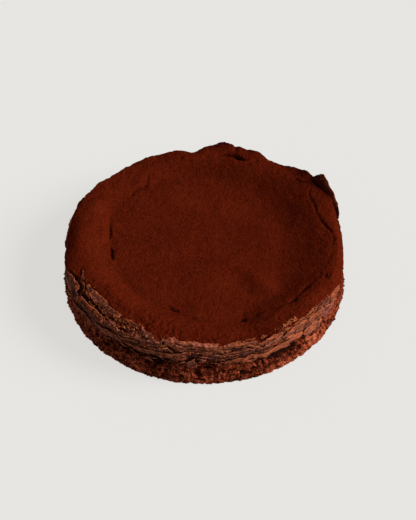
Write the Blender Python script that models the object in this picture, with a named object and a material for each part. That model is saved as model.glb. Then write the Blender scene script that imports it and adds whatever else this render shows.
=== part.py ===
"""Twice baked chocolate cake: a crumbly first bake under a second bake that sank as it cooled.

Metres, +Z up, the origin on the table under the middle of the cake. Angles are degrees round the cake,
0 towards +X and 90 towards +Y. Every outline is worked out from the named sizes below.
"""

import bmesh
import bpy
import numpy as np

MM = 0.001

# Driving sizes
CAKE_RADIUS = 115.0 * MM
SEAM_HEIGHT = 21.5 * MM
SEAM_GAP = 0.3 * MM
FLOOR_HEIGHT = 34.0 * MM
FLOOR_TILT = 1.2 * MM
CREST_HEIGHT = 42.5 * MM
BRINK_RADIUS = 113.8 * MM
BRINK_HEIGHT = 40.0 * MM

# Closed lines on the top as (angle, radius in mm): where the sunken floor starts to rise, and the rim's
# highest line
FLOOR_EDGE = (
    (12, 66), (40, 71), (56, 84), (80, 92), (110, 91), (135, 85), (158, 78), (184, 77),
    (200, 73), (228, 72), (254, 72), (278, 75), (302, 79), (326, 79), (348, 70),
)
CREST_LINE = (
    (0, 104), (20, 99), (40, 104), (62, 104), (84, 103), (104, 101), (126, 98), (148, 99), (166, 104),
    (184, 103), (197, 95), (208, 88), (226, 86), (246, 89), (268, 93), (300, 95), (322, 97), (342, 102),
)
LINE_SMOOTHING = 5.0
SLOPE_POWER = 1.6
# Where the slope meets the rim without a sharp line: angle, half width in degrees, share
SOFT_CRESTS = (
    (282.0, 40.0, 1.0),
    (100.0, 30.0, 0.7),
)
SHOULDER_POWER = 1.8

# Swells of the rim: angle, half width in degrees, rise
CREST_SWELLS = (
    (80.0, 17.0, 5.5 * MM),
    (30.0, 22.0, 4.0 * MM),
    (174.0, 26.0, 1.6 * MM),
    (128.0, 20.0, -1.6 * MM),
    (285.0, 48.0, -2.4 * MM),
)
BRINK_SWELLS = (
    (82.0, 11.0, 8.0 * MM),
    (68.0, 9.0, 7.0 * MM),
    (76.0, 2.4, -1.6 * MM),
    (95.0, 5.0, -4.0 * MM),
    (131.0, 14.0, -2.0 * MM),
    (151.0, 6.0, 1.6 * MM),
    (44.0, 15.0, 7.0 * MM),
    (27.0, 12.0, 6.5 * MM),
    (350.0, 18.0, -3.0 * MM),
    (221.0, 30.0, -3.6 * MM),
    (262.0, 16.0, 1.2 * MM),
    (306.0, 18.0, 1.8 * MM),
)
BRINK_BULGES = (
    (30.0, 22.0, 2.4 * MM),
    (182.0, 26.0, -0.2 * MM),
    (2.0, 14.0, -0.9 * MM),
)
# Creases that follow a line of the top: angle, half width in degrees, depth
FLOOR_EDGE_CREASES = (
    (171.0, 25.0, 2.2 * MM),
    (256.0, 13.0, 1.0 * MM),
    (312.0, 22.0, 1.0 * MM),
)
CREST_CREASES = (
    (20.0, 20.0, 2.2 * MM),
    (79.0, 14.0, 3.0 * MM),
)
BRINK_CREASES = ((30.0, 13.0, 2.6 * MM),)
# Ridges just outside the floor's edge, and along the crest
SHELF_LIPS = ((171.0, 23.0, 1.3 * MM),)
CREST_RIDGES = ((229.0, 36.0, 1.2 * MM),)
CREASE_WIDTH = 2.4 * MM
RIDGE_WIDTH = 3.2 * MM
LIP_OFFSET = 4.6 * MM
BRINK_CREASE_INSET = 3.2 * MM

# Unevenness of the top: how high, and how far from one hump to the next
FLOOR_WAVES = (0.7 * MM, 34.0 * MM)
RIM_DIMPLES = (0.35 * MM, 9.0 * MM)
BRINK_WOBBLE = (0.9 * MM, 26.0 * MM)
BRINK_CHIPS = (0.7 * MM, 6.0 * MM)
BRINK_JAGS = (0.8 * MM, 7.0 * MM)

# The second bake's side
UPPER_BULGE = 1.2 * MM
UNDERCUT_DEPTH = 3.4 * MM
UNDERCUT_SHARE = 0.16
UNDERCUT_RISE = 3.0 * MM
CLOSED_SEAM_SHARE = 0.35
SEAM_RAGGED, SEAM_RAGGED_LENGTH = 0.25, 9.0 * MM
FOLD_DEPTH, FOLD_LENGTH, FOLD_RISE = 0.85 * MM, 15.0 * MM, 4.0 * MM
CREASE_DEPTH, CREASE_LENGTH, CREASE_RISE = 0.6 * MM, 5.0 * MM, 2.2 * MM
# Stretches where the second bake's lower edge lifts off the first bake: angle, half width in degrees, share
OPEN_SEAMS = (
    (310.0, 26.0, 1.0),
    (262.0, 20.0, 0.7),
    (226.0, 18.0, 0.55),
    (40.0, 22.0, 0.6),
    (120.0, 26.0, 0.7),
    (175.0, 18.0, 0.5),
)

# The first bake's side
LOWER_WAIST = 2.6 * MM
FOOT_FLARE = 3.4 * MM
FLARE_POWER = 1.5
FOOT_ROUNDING, FOOT_SHARE = 0.9 * MM, 0.12
LOWER_RIM_INSET, LOWER_RIM_SHARE = 1.4 * MM, 0.18
LOWER_RIM_DROP = 0.9 * MM
LUMP_HEIGHT, LUMP_SIZE = 0.7 * MM, 8.0 * MM
CLUMP_HEIGHT, CLUMP_SIZE = 0.55 * MM, 3.6 * MM
PIT_DEPTH, PIT_SIZE, PIT_SHARE = 2.6 * MM, 4.2 * MM, 0.35
FLATTENED = 0.7

# Papery crust flakes: angle, height up the side to the flake's middle, half length along the rim, half
# height, how far the upper edge stands off the cake
SIDE_FLAKES = (
    (221.0, 18.5 * MM, 17.0 * MM, 3.6 * MM, 1.6 * MM),
    (240.0, 14.5 * MM, 14.0 * MM, 2.9 * MM, 1.3 * MM),
    (233.0, 9.5 * MM, 10.0 * MM, 3.6 * MM, 1.5 * MM),
    (213.0, 9.0 * MM, 15.0 * MM, 2.8 * MM, 1.3 * MM),
    (248.5, 17.0 * MM, 6.0 * MM, 3.0 * MM, 2.2 * MM),
    (257.5, 18.5 * MM, 8.0 * MM, 3.0 * MM, 1.9 * MM),
    (276.0, 18.0 * MM, 17.0 * MM, 2.2 * MM, 1.2 * MM),
    (296.0, 12.0 * MM, 13.0 * MM, 3.0 * MM, 1.4 * MM),
    (308.0, 18.5 * MM, 12.0 * MM, 2.4 * MM, 1.9 * MM),
    (313.0, 9.0 * MM, 12.0 * MM, 3.4 * MM, 1.7 * MM),
    (326.0, 14.0 * MM, 9.0 * MM, 4.4 * MM, 1.2 * MM),
    (195.0, 15.0 * MM, 11.0 * MM, 3.6 * MM, 1.5 * MM),
    (150.0, 14.0 * MM, 15.0 * MM, 3.4 * MM, 1.5 * MM),
    (112.0, 12.0 * MM, 16.0 * MM, 3.6 * MM, 1.6 * MM),
    (84.0, 20.0 * MM, 12.0 * MM, 3.2 * MM, 1.6 * MM),
    (55.0, 12.0 * MM, 14.0 * MM, 3.4 * MM, 1.5 * MM),
    (8.0, 13.0 * MM, 13.0 * MM, 3.4 * MM, 1.0 * MM),
)
FLAKE_THICKNESS = 1.5 * MM
FLAKE_TAPER = 0.86
FLAKE_SLANT = 0.12
FLAKE_RAGGED = 0.18
FLAKE_LOBES = 2.7
FLAKE_WAVE = 0.3
FLAKE_HELD_SHARE = 0.25
ROLL_OVER = 3.0 * MM
# Upright crags of crust on the rim: angle, half length along the rim, height, outward lean
RIM_CRAGS = (
    (30.5, 16.0 * MM, 13.5 * MM, 3.8 * MM),
    (171.0, 17.0 * MM, 6.0 * MM, 0.4 * MM),
    (80.0, 9.0 * MM, 2.4 * MM, 0.5 * MM),
)
CRAG_THICKNESS = 1.8 * MM
CRAG_ROOT = 3.0 * MM
CRAG_INSET = 0.4 * MM
CRAG_PEAK = 0.25
CRAG_TAPER = 0.34
CRAG_JAGS = 0.22
CRAG_CURL = 1.5
CRAG_SUNK_SHARE = 0.35

# Mesh fineness: points round the cake, rings up a side as shares of its height, rings inside the floor's
# edge as (distance in mm, how many times fewer points), the hidden flat faces likewise by radius
AROUND = 144
LOWER_SHARES = (0.0, 0.07, 0.18, 0.3, 0.42, 0.54, 0.66, 0.78, 0.89, 1.0)
UPPER_SHARES = (0.0, 0.1, 0.22, 0.36, 0.5, 0.64, 0.78, 0.9)
SLOPE_SHARES = (0.36, 0.68)
FLOOR_RINGS = ((2.4, 1), (8.0, 1), (22.0, 2), (38.0, 2), (52.0, 4), (60.0, 8))
HIDDEN_RINGS = ((105.0, 1), (84.0, 2), (50.0, 4), (0.0, AROUND))
FLAKE_ALONG = 9
FLAKE_ACROSS = 4

COCOA = {"color": (0.0755, 0.0075, 0.0020), "roughness": 0.95}
CRUMB = {"color": (0.0900, 0.0180, 0.0085), "roughness": 0.90}

# Whole numbers that scramble a lattice cell into a random draw
CELL_FACTORS = (374761393, 668265263, 2147483647)
SEED_FACTOR, MIX_FACTOR = 974634777, 1274126177
SEED_STEP = 0.37


def lattice_noise(x, y, z, seed):
    """Smooth noise from -1 to 1 with one feature per unit, the same on every run."""
    cells = [np.floor(v).astype(np.int64) for v in (x, y, z)]
    parts = [v - c for v, c in zip((x, y, z), cells)]
    eased = [p * p * (3.0 - 2.0 * p) for p in parts]
    total = np.zeros_like(parts[0])
    for corner in range(8):
        steps = [(corner >> axis) & 1 for axis in range(3)]
        mixed = seed * SEED_FACTOR
        weight = np.ones_like(total)
        for cell, step, share, factor in zip(cells, steps, eased, CELL_FACTORS):
            mixed = mixed + (cell + step) * factor
            weight = weight * (share if step else 1.0 - share)
        mixed = ((mixed ^ (mixed >> 13)) & 0xFFFFFFF) * MIX_FACTOR
        mixed = mixed ^ (mixed >> 16)
        total = total + weight * ((mixed & 0xFFFF) / 32767.5 - 1.0)
    return total


def side_noise(angle, height, along, up, seed):
    """Noise on the cake's side, with features of the size along in plan and up in height."""
    x, y = plan(angle, CAKE_RADIUS)
    level = np.broadcast_to(height / up, np.shape(x)) + SEED_STEP * seed
    return lattice_noise(x / along, y / along, level, seed)


def rim_noise(angle, unevenness, seed):
    size, spacing = unevenness
    return size * side_noise(angle, 0.0, spacing, 1.0, seed)


def top_noise(x, y, unevenness, seed):
    size, spacing = unevenness
    return size * lattice_noise(x / spacing, y / spacing, np.zeros_like(x), seed)


def swell(angle, centre, half_width):
    """1 at the centre and 0 from half_width degrees away, round the full circle."""
    away = np.abs((angle - centre + 180.0) % 360.0 - 180.0)
    return 0.5 + 0.5 * np.cos(np.pi * np.minimum(away / half_width, 1.0))


def swells(angle, table):
    return sum(rise * swell(angle, centre, half_width) for centre, half_width, rise in table)


def ease(value, low, high):
    """0 up to low, 1 from high, and smooth between them."""
    share = np.clip((value - low) / (high - low), 0.0, 1.0)
    return share * share * (3.0 - 2.0 * share)


def ridge(distance, half_width):
    """1 on a line, falling smoothly to 0 on both sides of it."""
    return np.exp(-((distance / half_width) ** 2))


def plan(angle, radius):
    turn = np.radians(angle)
    return radius * np.cos(turn), radius * np.sin(turn)


def closed_line(angle, points):
    """Radius of a smooth closed line through (angle, radius in mm) points."""
    places, radii = np.array(points, dtype=float).T
    turns = LINE_SMOOTHING * np.array((-2.0, -1.0, 0.0, 1.0, 2.0))
    return MM * sum(np.interp(angle + turn, places, radii, period=360.0) for turn in turns) / len(turns)


def floor_edge(angle):
    return closed_line(angle, FLOOR_EDGE)


def crest_line(angle):
    return closed_line(angle, CREST_LINE)


def brink_radius(angle):
    """Radius of the rim's outer edge."""
    uneven = rim_noise(angle, BRINK_WOBBLE, 5) + rim_noise(angle, BRINK_CHIPS, 6)
    return BRINK_RADIUS + uneven + swells(angle, BRINK_BULGES)


def brink_height(angle):
    return BRINK_HEIGHT + swells(angle, BRINK_SWELLS) + rim_noise(angle, BRINK_JAGS, 8)


def top_relief(angle, radius):
    """Creases and ridges that follow the floor's edge, the crest and the brink."""
    from_edge = radius - floor_edge(angle)
    from_crest = radius - crest_line(angle)
    from_brink = radius - brink_radius(angle) + BRINK_CREASE_INSET
    relief = swells(angle, CREST_RIDGES) * ridge(from_crest, RIDGE_WIDTH)
    relief = relief + swells(angle, SHELF_LIPS) * ridge(from_edge - LIP_OFFSET, RIDGE_WIDTH)
    relief = relief - swells(angle, FLOOR_EDGE_CREASES) * ridge(from_edge, CREASE_WIDTH)
    relief = relief - swells(angle, CREST_CREASES) * ridge(from_crest, CREASE_WIDTH)
    return relief - swells(angle, BRINK_CREASES) * ridge(from_brink, CREASE_WIDTH)


def top_height(angle, radius):
    """Height of the cake's top: the sunken floor, the rim's inner slope and its outer shoulder."""
    x, y = plan(angle, radius)
    edge, crest_at = floor_edge(angle), crest_line(angle)
    crest = CREST_HEIGHT + swells(angle, CREST_SWELLS)
    floor = FLOOR_HEIGHT - FLOOR_TILT * x / CAKE_RADIUS
    across = np.clip((radius - edge) / (crest_at - edge), 0.0, 1.0)
    soft = np.clip(swells(angle, SOFT_CRESTS), 0.0, 1.0)
    slope = across**SLOPE_POWER * (1.0 - soft) + ease(across, 0.0, 1.0) * soft
    shoulder = np.clip((radius - crest_at) / (brink_radius(angle) - crest_at), 0.0, 1.0) ** SHOULDER_POWER
    height = floor + (crest - floor) * slope + (brink_height(angle) - crest) * shoulder
    uneven = top_noise(x, y, FLOOR_WAVES, 11) * (1.0 - slope) + top_noise(x, y, RIM_DIMPLES, 12) * slope
    return height + uneven + top_relief(angle, radius)


def open_seam(angle):
    """How open the seam is, from a closed seam's share to 1."""
    opened = sum(share * swell(angle, centre, width) for centre, width, share in OPEN_SEAMS)
    return CLOSED_SEAM_SHARE + (1.0 - CLOSED_SEAM_SHARE) * np.clip(opened, 0.0, 1.0)


def seam_lift(angle):
    """How far the second bake's lower edge stands above its flat underside."""
    ragged = 1.0 - SEAM_RAGGED + SEAM_RAGGED * side_noise(angle, 0.0, SEAM_RAGGED_LENGTH, 1.0, 15)
    return UNDERCUT_RISE * open_seam(angle) * ragged


def upper_side_radius(angle, share):
    """Radius of the second bake's side, with share 0 at its lower edge and 1 at the brink."""
    height = share * (BRINK_HEIGHT - SEAM_HEIGHT)
    folds = FOLD_DEPTH * side_noise(angle, height, FOLD_LENGTH, FOLD_RISE, 21)
    creases = CREASE_DEPTH * side_noise(angle, height, CREASE_LENGTH, CREASE_RISE, 22)
    waist = UPPER_BULGE * np.sin(np.pi * np.clip(share, 0.0, 1.0))
    undercut = UNDERCUT_DEPTH * (1.0 - ease(share, 0.0, UNDERCUT_SHARE)) * open_seam(angle)
    loose = 1.0 - ease(share, 1.0 - UNDERCUT_SHARE, 1.0)
    return brink_radius(angle) + waist - undercut + (folds + creases) * loose


def lower_side_radius(angle, share):
    """Radius of the first bake's side, with share 0 at the table and 1 at the seam."""
    height = share * SEAM_HEIGHT
    lumps = LUMP_HEIGHT * side_noise(angle, height, LUMP_SIZE, FLATTENED * LUMP_SIZE, 31)
    clumps = CLUMP_HEIGHT * side_noise(angle, height, CLUMP_SIZE, FLATTENED * CLUMP_SIZE, 32)
    pits = np.clip(side_noise(angle, height, PIT_SIZE, FLATTENED * PIT_SIZE, 33) - PIT_SHARE, 0.0, 1.0)
    flare = FOOT_FLARE * (1.0 - share) ** FLARE_POWER
    foot = FOOT_ROUNDING * (1.0 - ease(share, 0.0, FOOT_SHARE))
    rim = LOWER_RIM_INSET * ease(share, 1.0 - LOWER_RIM_SHARE, 1.0)
    return CAKE_RADIUS - LOWER_WAIST + flare - foot - rim + lumps + clumps - PIT_DEPTH * pits


def skin_point(angle, climb, lift):
    """A point on the second bake's skin, climb metres up from the seam and over the brink, plus a lift."""
    low = SEAM_HEIGHT + SEAM_GAP + seam_lift(angle)
    side = brink_height(angle) - low
    share = np.clip(climb / side, 0.0, 1.0)
    over = np.maximum(climb - side, 0.0)
    radius = np.where(over > 0.0, brink_radius(angle) - over, upper_side_radius(angle, share))
    height = np.where(over > 0.0, top_height(angle, radius), low + share * side)
    tilt = ease(climb, side - ROLL_OVER, side + ROLL_OVER) * np.pi / 2
    x, y = plan(angle, radius + lift * np.cos(tilt))
    return np.stack([x, y, height + lift * np.sin(tilt)], axis=-1)


def ring(angle, radius, height):
    x, y = plan(angle, radius)
    return np.stack([x, y, np.broadcast_to(height, np.shape(x))], axis=-1)


def angles(count):
    return np.arange(count) * 360.0 / count


def top_ring(radius):
    """A ring on the cake's top, with its radius at evenly spaced angles."""
    around = angles(len(radius))
    return ring(around, radius, top_height(around, radius))


def hidden_rings(height):
    """Rings of a hidden flat face from its outside in, with fewer points towards the middle."""
    return [ring(angles(AROUND // fewer), radius * MM, height) for radius, fewer in HIDDEN_RINGS]


def stitch(bed, outer, inner):
    """Faces between two rings of vertices. The inner ring has as many vertices, half as many, or one."""
    count = len(outer)
    step = count // len(inner)
    for i in range(count):
        follow = (i + 1) % count
        if len(inner) == 1:
            bed.faces.new((outer[i], outer[follow], inner[0]))
        elif step == 1:
            bed.faces.new((outer[i], outer[follow], inner[follow], inner[i]))
        elif i % 2 == 0:
            bed.faces.new((outer[i], outer[follow], inner[i // 2]))
        else:
            near, far = inner[i // 2], inner[(i // 2 + 1) % len(inner)]
            bed.faces.new((outer[i], far, near))
            bed.faces.new((outer[i], outer[follow], far))


def solid_of_rings(name, rings, material):
    """One closed object from rings listed from the underside's middle, up the side, to the top's middle."""
    bed = bmesh.new()
    made = [[bed.verts.new(point) for point in points] for points in rings]
    for low, high in zip(made[:-1], made[1:]):
        if len(high) <= len(low):
            stitch(bed, low, high)
        else:
            stitch(bed, high, low)
    bmesh.ops.triangulate(bed, faces=[face for face in bed.faces if len(face.verts) > 3])
    bmesh.ops.recalc_face_normals(bed, faces=bed.faces)
    return object_of(name, bed, material)


def object_of(name, bed, material):
    mesh = bpy.data.meshes.new(name)
    bed.to_mesh(mesh)
    bed.free()
    mesh.materials.append(material)
    made = bpy.data.objects.new(name, mesh)
    bpy.context.scene.collection.objects.link(made)
    return made


def material_of(name, look):
    material = bpy.data.materials.new(name)
    material.use_nodes = True
    shader = material.node_tree.nodes["Principled BSDF"]
    shader.inputs["Base Color"].default_value = (*look["color"], 1.0)
    shader.inputs["Roughness"].default_value = look["roughness"]
    shader.inputs["Metallic"].default_value = 0.0
    material.diffuse_color = (*look["color"], 1.0)
    return material


def build_first_bake(material):
    """The crumbly lower bake, flat underneath and pitted round its side."""
    around = angles(AROUND)
    side = [ring(around, lower_side_radius(around, share), share * SEAM_HEIGHT) for share in LOWER_SHARES]
    side[-1][:, 2] -= LOWER_RIM_DROP * (0.5 + 0.5 * side_noise(around, 0.0, LUMP_SIZE, 1.0, 35))
    under, above = hidden_rings(0.0)[::-1], hidden_rings(SEAM_HEIGHT)
    return solid_of_rings("first_bake", under + side + above, material)


def build_second_bake(material):
    """The upper bake: crusty side, raised rim and sunken floor."""
    around = angles(AROUND)
    under = SEAM_HEIGHT + SEAM_GAP
    low = under + seam_lift(around)
    rise = brink_height(around) - low
    side = [ring(around, upper_side_radius(around, share), low + share * rise) for share in UPPER_SHARES]
    brink, crest, edge = brink_radius(around), crest_line(around), floor_edge(around)
    rim = [brink, brink - BRINK_CREASE_INSET, 0.5 * (brink + crest), crest + CREASE_WIDTH, crest]
    slope = [crest - CREASE_WIDTH] + [crest + (edge - crest) * share for share in SLOPE_SHARES]
    top = [top_ring(radius) for radius in rim + slope + [edge + CREASE_WIDTH, edge]]
    top += [top_ring(edge[::fewer] - inward * MM) for inward, fewer in FLOOR_RINGS]
    top.append(top_ring(np.zeros(1)))
    return solid_of_rings("second_bake", hidden_rings(under)[::-1] + side + top, material)


def plate(name, outer, inner, material):
    """A thin closed plate between two grids of points that share their layout."""
    bed = bmesh.new()
    rows, columns = outer.shape[:2]
    front = [[bed.verts.new(outer[i, j]) for j in range(columns)] for i in range(rows)]
    back = [[bed.verts.new(inner[i, j]) for j in range(columns)] for i in range(rows)]
    for i in range(rows - 1):
        for j in range(columns - 1):
            bed.faces.new((front[i][j], front[i + 1][j], front[i + 1][j + 1], front[i][j + 1]))
            bed.faces.new((back[i][j], back[i][j + 1], back[i + 1][j + 1], back[i + 1][j]))
    edge = [(i, 0) for i in range(rows)] + [(rows - 1, j) for j in range(1, columns)]
    edge += [(i, columns - 1) for i in reversed(range(rows - 1))]
    edge += [(0, j) for j in reversed(range(1, columns - 1))]
    for (i, j), (k, m) in zip(edge, edge[1:] + edge[:1]):
        bed.faces.new((front[i][j], back[i][j], back[k][m], front[k][m]))
    bmesh.ops.triangulate(bed, faces=bed.faces)
    bmesh.ops.recalc_face_normals(bed, faces=bed.faces)
    return object_of(name, bed, material)


def flake_plate(number, flake, material):
    """One papery flake: it lies in the skin along its lower edge and curls off it at its upper edge."""
    centre, climb, half_length, half_height, stand_off = flake
    along, across = np.meshgrid(
        np.linspace(-1.0, 1.0, FLAKE_ALONG), np.linspace(-1.0, 1.0, FLAKE_ACROSS), indexing="ij"
    )
    taper = np.sqrt(np.clip(1.0 - FLAKE_TAPER * along**2, 0.0, 1.0))
    uneven = FLAKE_RAGGED * lattice_noise(along * FLAKE_LOBES, across, np.zeros_like(along), 40 + number)
    angle = centre + np.degrees(along * half_length / CAKE_RADIUS)
    up = climb + half_height * (across * taper + uneven + FLAKE_SLANT * along * (-1) ** number)
    loose = FLAKE_HELD_SHARE + (1.0 - FLAKE_HELD_SHARE) * ease(across, -1.0, 1.0)
    curl = stand_off * loose * (1.0 - FLAKE_WAVE + FLAKE_WAVE * np.cos(FLAKE_LOBES * along + number))
    outer = skin_point(angle, up, curl)
    inner = skin_point(angle, up, curl - FLAKE_THICKNESS)
    return plate(f"flake_{number:02d}", outer, inner, material)


def crag_plate(number, crag, material):
    """One upright crag of crust, rooted in the rim and pointed unevenly at its top."""
    centre, half_length, height, lean = crag
    along, across = np.meshgrid(
        np.linspace(-1.0, 1.0, FLAKE_ALONG), np.linspace(0.0, 1.0, FLAKE_ACROSS), indexing="ij"
    )
    angle = centre + np.degrees(along * half_length / CAKE_RADIUS)
    flat = np.zeros_like(along)
    jags = 1.0 - CRAG_JAGS + CRAG_JAGS * lattice_noise(along * FLAKE_LOBES, flat, flat, 60 + number)
    profile = np.sqrt(1.0 - CRAG_TAPER * (along - CRAG_PEAK) ** 2) * jags
    top = brink_height(angle) + height * (profile - CRAG_SUNK_SHARE)
    foot = brink_height(angle) - CRAG_ROOT
    radius = brink_radius(angle) - CRAG_INSET + lean * across**CRAG_CURL
    rise = foot + (top - foot) * across
    outer = ring(angle, radius, rise)
    return plate(f"crag_{number:02d}", outer, ring(angle, radius - CRAG_THICKNESS, rise), material)


def shell_of(start, unseen):
    """The faces that join up with one face across plain edges, taken out of the unseen set."""
    shell = [start]
    unseen.remove(start)
    for face in shell:
        for edge in face.edges:
            if len(edge.link_faces) != 2:
                continue
            for neighbour in edge.link_faces:
                if neighbour in unseen:
                    unseen.remove(neighbour)
                    shell.append(neighbour)
    return shell


def keep_outer_shell(mesh):
    """Drops loose scraps, and fills the hollows that fusing sealed, by keeping the largest shell alone."""
    bed = bmesh.new()
    bed.from_mesh(mesh)
    unseen = set(bed.faces)
    shells = []
    for face in list(bed.faces):
        if face in unseen:
            shells.append(shell_of(face, unseen))
    shells.sort(key=len)
    for shell in shells[:-1]:
        bmesh.ops.delete(bed, geom=shell, context="FACES")
    bed.to_mesh(mesh)
    bed.free()


def fuse(body, pieces):
    """Joins the pieces to the body as one solid, and removes them."""
    group = bpy.data.collections.new("crust_pieces")
    for piece in pieces:
        bpy.context.scene.collection.objects.unlink(piece)
        group.objects.link(piece)
    bpy.context.scene.collection.children.link(group)
    union = body.modifiers.new("crust", "BOOLEAN")
    union.operation = "UNION"
    union.operand_type = "COLLECTION"
    union.collection = group
    union.solver = "EXACT"
    bpy.context.view_layer.update()
    graph = bpy.context.evaluated_depsgraph_get()
    joined = bpy.data.meshes.new_from_object(body.evaluated_get(graph))
    body.modifiers.clear()
    keep_outer_shell(joined)
    body.data = joined
    for piece in pieces:
        bpy.data.objects.remove(piece)
    bpy.data.collections.remove(group)


def clear_scene():
    for old in list(bpy.data.objects):
        bpy.data.objects.remove(old)


def main():
    clear_scene()
    crumb = material_of("crumb", CRUMB)
    cocoa = material_of("cocoa_dusted_crust", COCOA)
    build_first_bake(crumb)
    second = build_second_bake(cocoa)
    pieces = [flake_plate(number, flake, cocoa) for number, flake in enumerate(SIDE_FLAKES)]
    pieces += [crag_plate(number, crag, cocoa) for number, crag in enumerate(RIM_CRAGS)]
    fuse(second, pieces)


main()
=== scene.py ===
"""Looks of the twice baked chocolate cake: a cocoa-dusted sunken top, torn papery crust and coarse crumb.

Metres, +Z up, the origin on the table under the middle of the cake. Angles are degrees round the cake,
0 towards +X and 90 towards +Y. A climb is a place on the side: 0 at the seam, below it the first bake,
above it the second bake up to its brink, and on from there over the brink towards the middle of the top.
"""

import itertools
import math

import bmesh
import bpy
import numpy as np
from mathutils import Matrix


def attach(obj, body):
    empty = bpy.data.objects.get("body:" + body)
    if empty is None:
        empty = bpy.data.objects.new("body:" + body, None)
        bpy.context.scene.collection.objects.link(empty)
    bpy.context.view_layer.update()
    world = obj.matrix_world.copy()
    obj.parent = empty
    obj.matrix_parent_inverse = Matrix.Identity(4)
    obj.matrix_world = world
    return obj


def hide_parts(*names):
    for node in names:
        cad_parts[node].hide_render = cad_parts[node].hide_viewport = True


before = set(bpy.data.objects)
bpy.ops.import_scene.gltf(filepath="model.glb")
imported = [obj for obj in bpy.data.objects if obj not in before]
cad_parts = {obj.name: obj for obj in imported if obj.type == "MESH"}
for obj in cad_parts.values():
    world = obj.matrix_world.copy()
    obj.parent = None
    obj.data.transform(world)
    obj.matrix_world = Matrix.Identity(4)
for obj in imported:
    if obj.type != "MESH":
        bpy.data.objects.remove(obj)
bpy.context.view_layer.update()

MM = 0.001

# Driving sizes, as the frame has them
CAKE_RADIUS = 115.0 * MM
SEAM_HEIGHT = 21.5 * MM
SEAM_GAP = 0.3 * MM
FLOOR_HEIGHT = 34.0 * MM
FLOOR_TILT = 2.2 * MM
CREST_HEIGHT = 42.5 * MM
BRINK_RADIUS = 113.8 * MM
BRINK_HEIGHT = 40.0 * MM
SIDE_CLIMB = 16.5 * MM

# Closed lines on the top as (angle, radius in mm): where the sunken floor starts to rise, the rim's highest
# line, and how far out the cocoa reaches
FLOOR_EDGE = (
    (0, 56), (12, 60), (24, 66), (36, 68), (48, 66), (60, 72), (72, 77), (84, 80), (96, 84), (108, 90),
    (120, 90), (132, 82), (144, 86), (150, 89), (156, 85), (164, 82), (172, 80), (180, 77), (190, 75),
    (200, 74.5), (210, 74.5), (220, 75), (230, 74), (240, 73), (252, 74), (264, 73), (276, 76), (288, 82),
    (300, 64), (312, 70), (324, 71), (336, 62), (348, 58),
)
CREST_LINE = (
    (0, 107), (12, 107), (24, 109), (36, 111), (48, 107), (60, 104), (72, 103), (84, 103), (96, 102),
    (108, 103), (120, 102), (132, 104), (144, 103), (156, 101), (168, 102), (180, 102), (188, 103),
    (194, 101), (202, 97), (212, 93), (220, 91.5), (230, 92), (240, 91), (252, 92), (264, 97),
    (276, 101), (288, 103), (300, 97), (312, 100), (324, 103), (336, 109), (348, 109),
)
COCOA_EDGE = (
    (0, 136), (30, 134), (60, 121), (90, 117), (130, 118), (170, 119), (188, 117), (194, 113), (199, 108),
    (205, 104.5), (210, 101.8), (215, 101), (225, 101), (230, 102.6), (233, 105), (242, 105.6),
    (246, 108), (250, 111), (252, 107.8), (258, 107.2), (262, 109.2), (275, 110.6), (284, 113),
    (296, 114), (300, 113.4), (306, 112.2), (310, 112.4), (314, 112.2), (322, 112.0), (330, 113.4),
    (336, 118), (345, 124),
)
LINE_SMOOTHING = 5.0
COCOA_SMOOTHING = 0.6
COCOA_WOBBLE = (1.1 * MM, 8.0 * MM)
SHOULDER_POWER = 1.7
# Where the rim's inner slope starts sharply at the floor: angle, half width in degrees, change of its power
SHARP_SLOPES = ((216.0, 50.0, -0.36), (168.0, 28.0, -0.36))
# Where the left rim's slope folds, from gentle inside this line to steep outside it, the share of its rise
# that is inside, and how rounded it is outside
FOLD_LINE = (
    (180, 84), (192, 81.5), (200, 84), (206, 83.5), (214, 82), (222, 82.5), (230, 83.5), (240, 81),
    (256, 81.5),
)
FOLD_STRETCHES = ((224.0, 44.0, 2.0),)
FOLD_SHARE, FOLD_ROUNDING = 0.36, 1.7

# Swells of the rim: angle, half width in degrees, rise
CREST_SWELLS = (
    (76.0, 20.0, 1.2 * MM),
    (32.0, 28.0, 3.6 * MM),
    (172.0, 24.0, 2.0 * MM),
    (130.0, 30.0, -4.4 * MM),
    (285.0, 44.0, -3.0 * MM),
    (291.0, 14.0, -1.6 * MM),
    (355.0, 24.0, 1.2 * MM),
)
BRINK_SWELLS = (
    (82.0, 11.0, 7.6 * MM),
    (68.0, 9.0, 6.2 * MM),
    (74.8, 6.2, 4.8 * MM),
    (76.4, 1.7, -2.0 * MM),
    (180.0, 22.0, -1.4 * MM),
    (95.0, 5.0, -4.0 * MM),
    (131.0, 14.0, -2.0 * MM),
    (151.0, 6.0, 1.6 * MM),
    (44.0, 15.0, 7.0 * MM),
    (39.0, 7.0, 4.2 * MM),
    (27.0, 12.0, 6.5 * MM),
    (350.0, 18.0, -3.0 * MM),
    (221.0, 30.0, -3.6 * MM),
    (262.0, 16.0, 1.2 * MM),
    (306.0, 18.0, 1.8 * MM),
)
BRINK_BULGES = (
    (30.0, 22.0, 2.4 * MM),
    (182.0, 30.0, -1.3 * MM),
    (358.0, 26.0, -2.2 * MM),
)
# Ridges just outside the floor's edge: angle, half width in degrees, height
SHELF_LIPS = ((168.0, 20.0, 1.2 * MM),)
RIDGE_WIDTH = 2.6 * MM
LIP_OFFSET = 3.8 * MM
# Shallow troughs just inside the floor's edge: angle, half width in degrees, rise
FLOOR_TROUGHS = ((222.0, 40.0, -0.9 * MM), (174.0, 14.0, -0.6 * MM))
TROUGH_OFFSET, TROUGH_WIDTH = -1.5 * MM, 5.0 * MM
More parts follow.
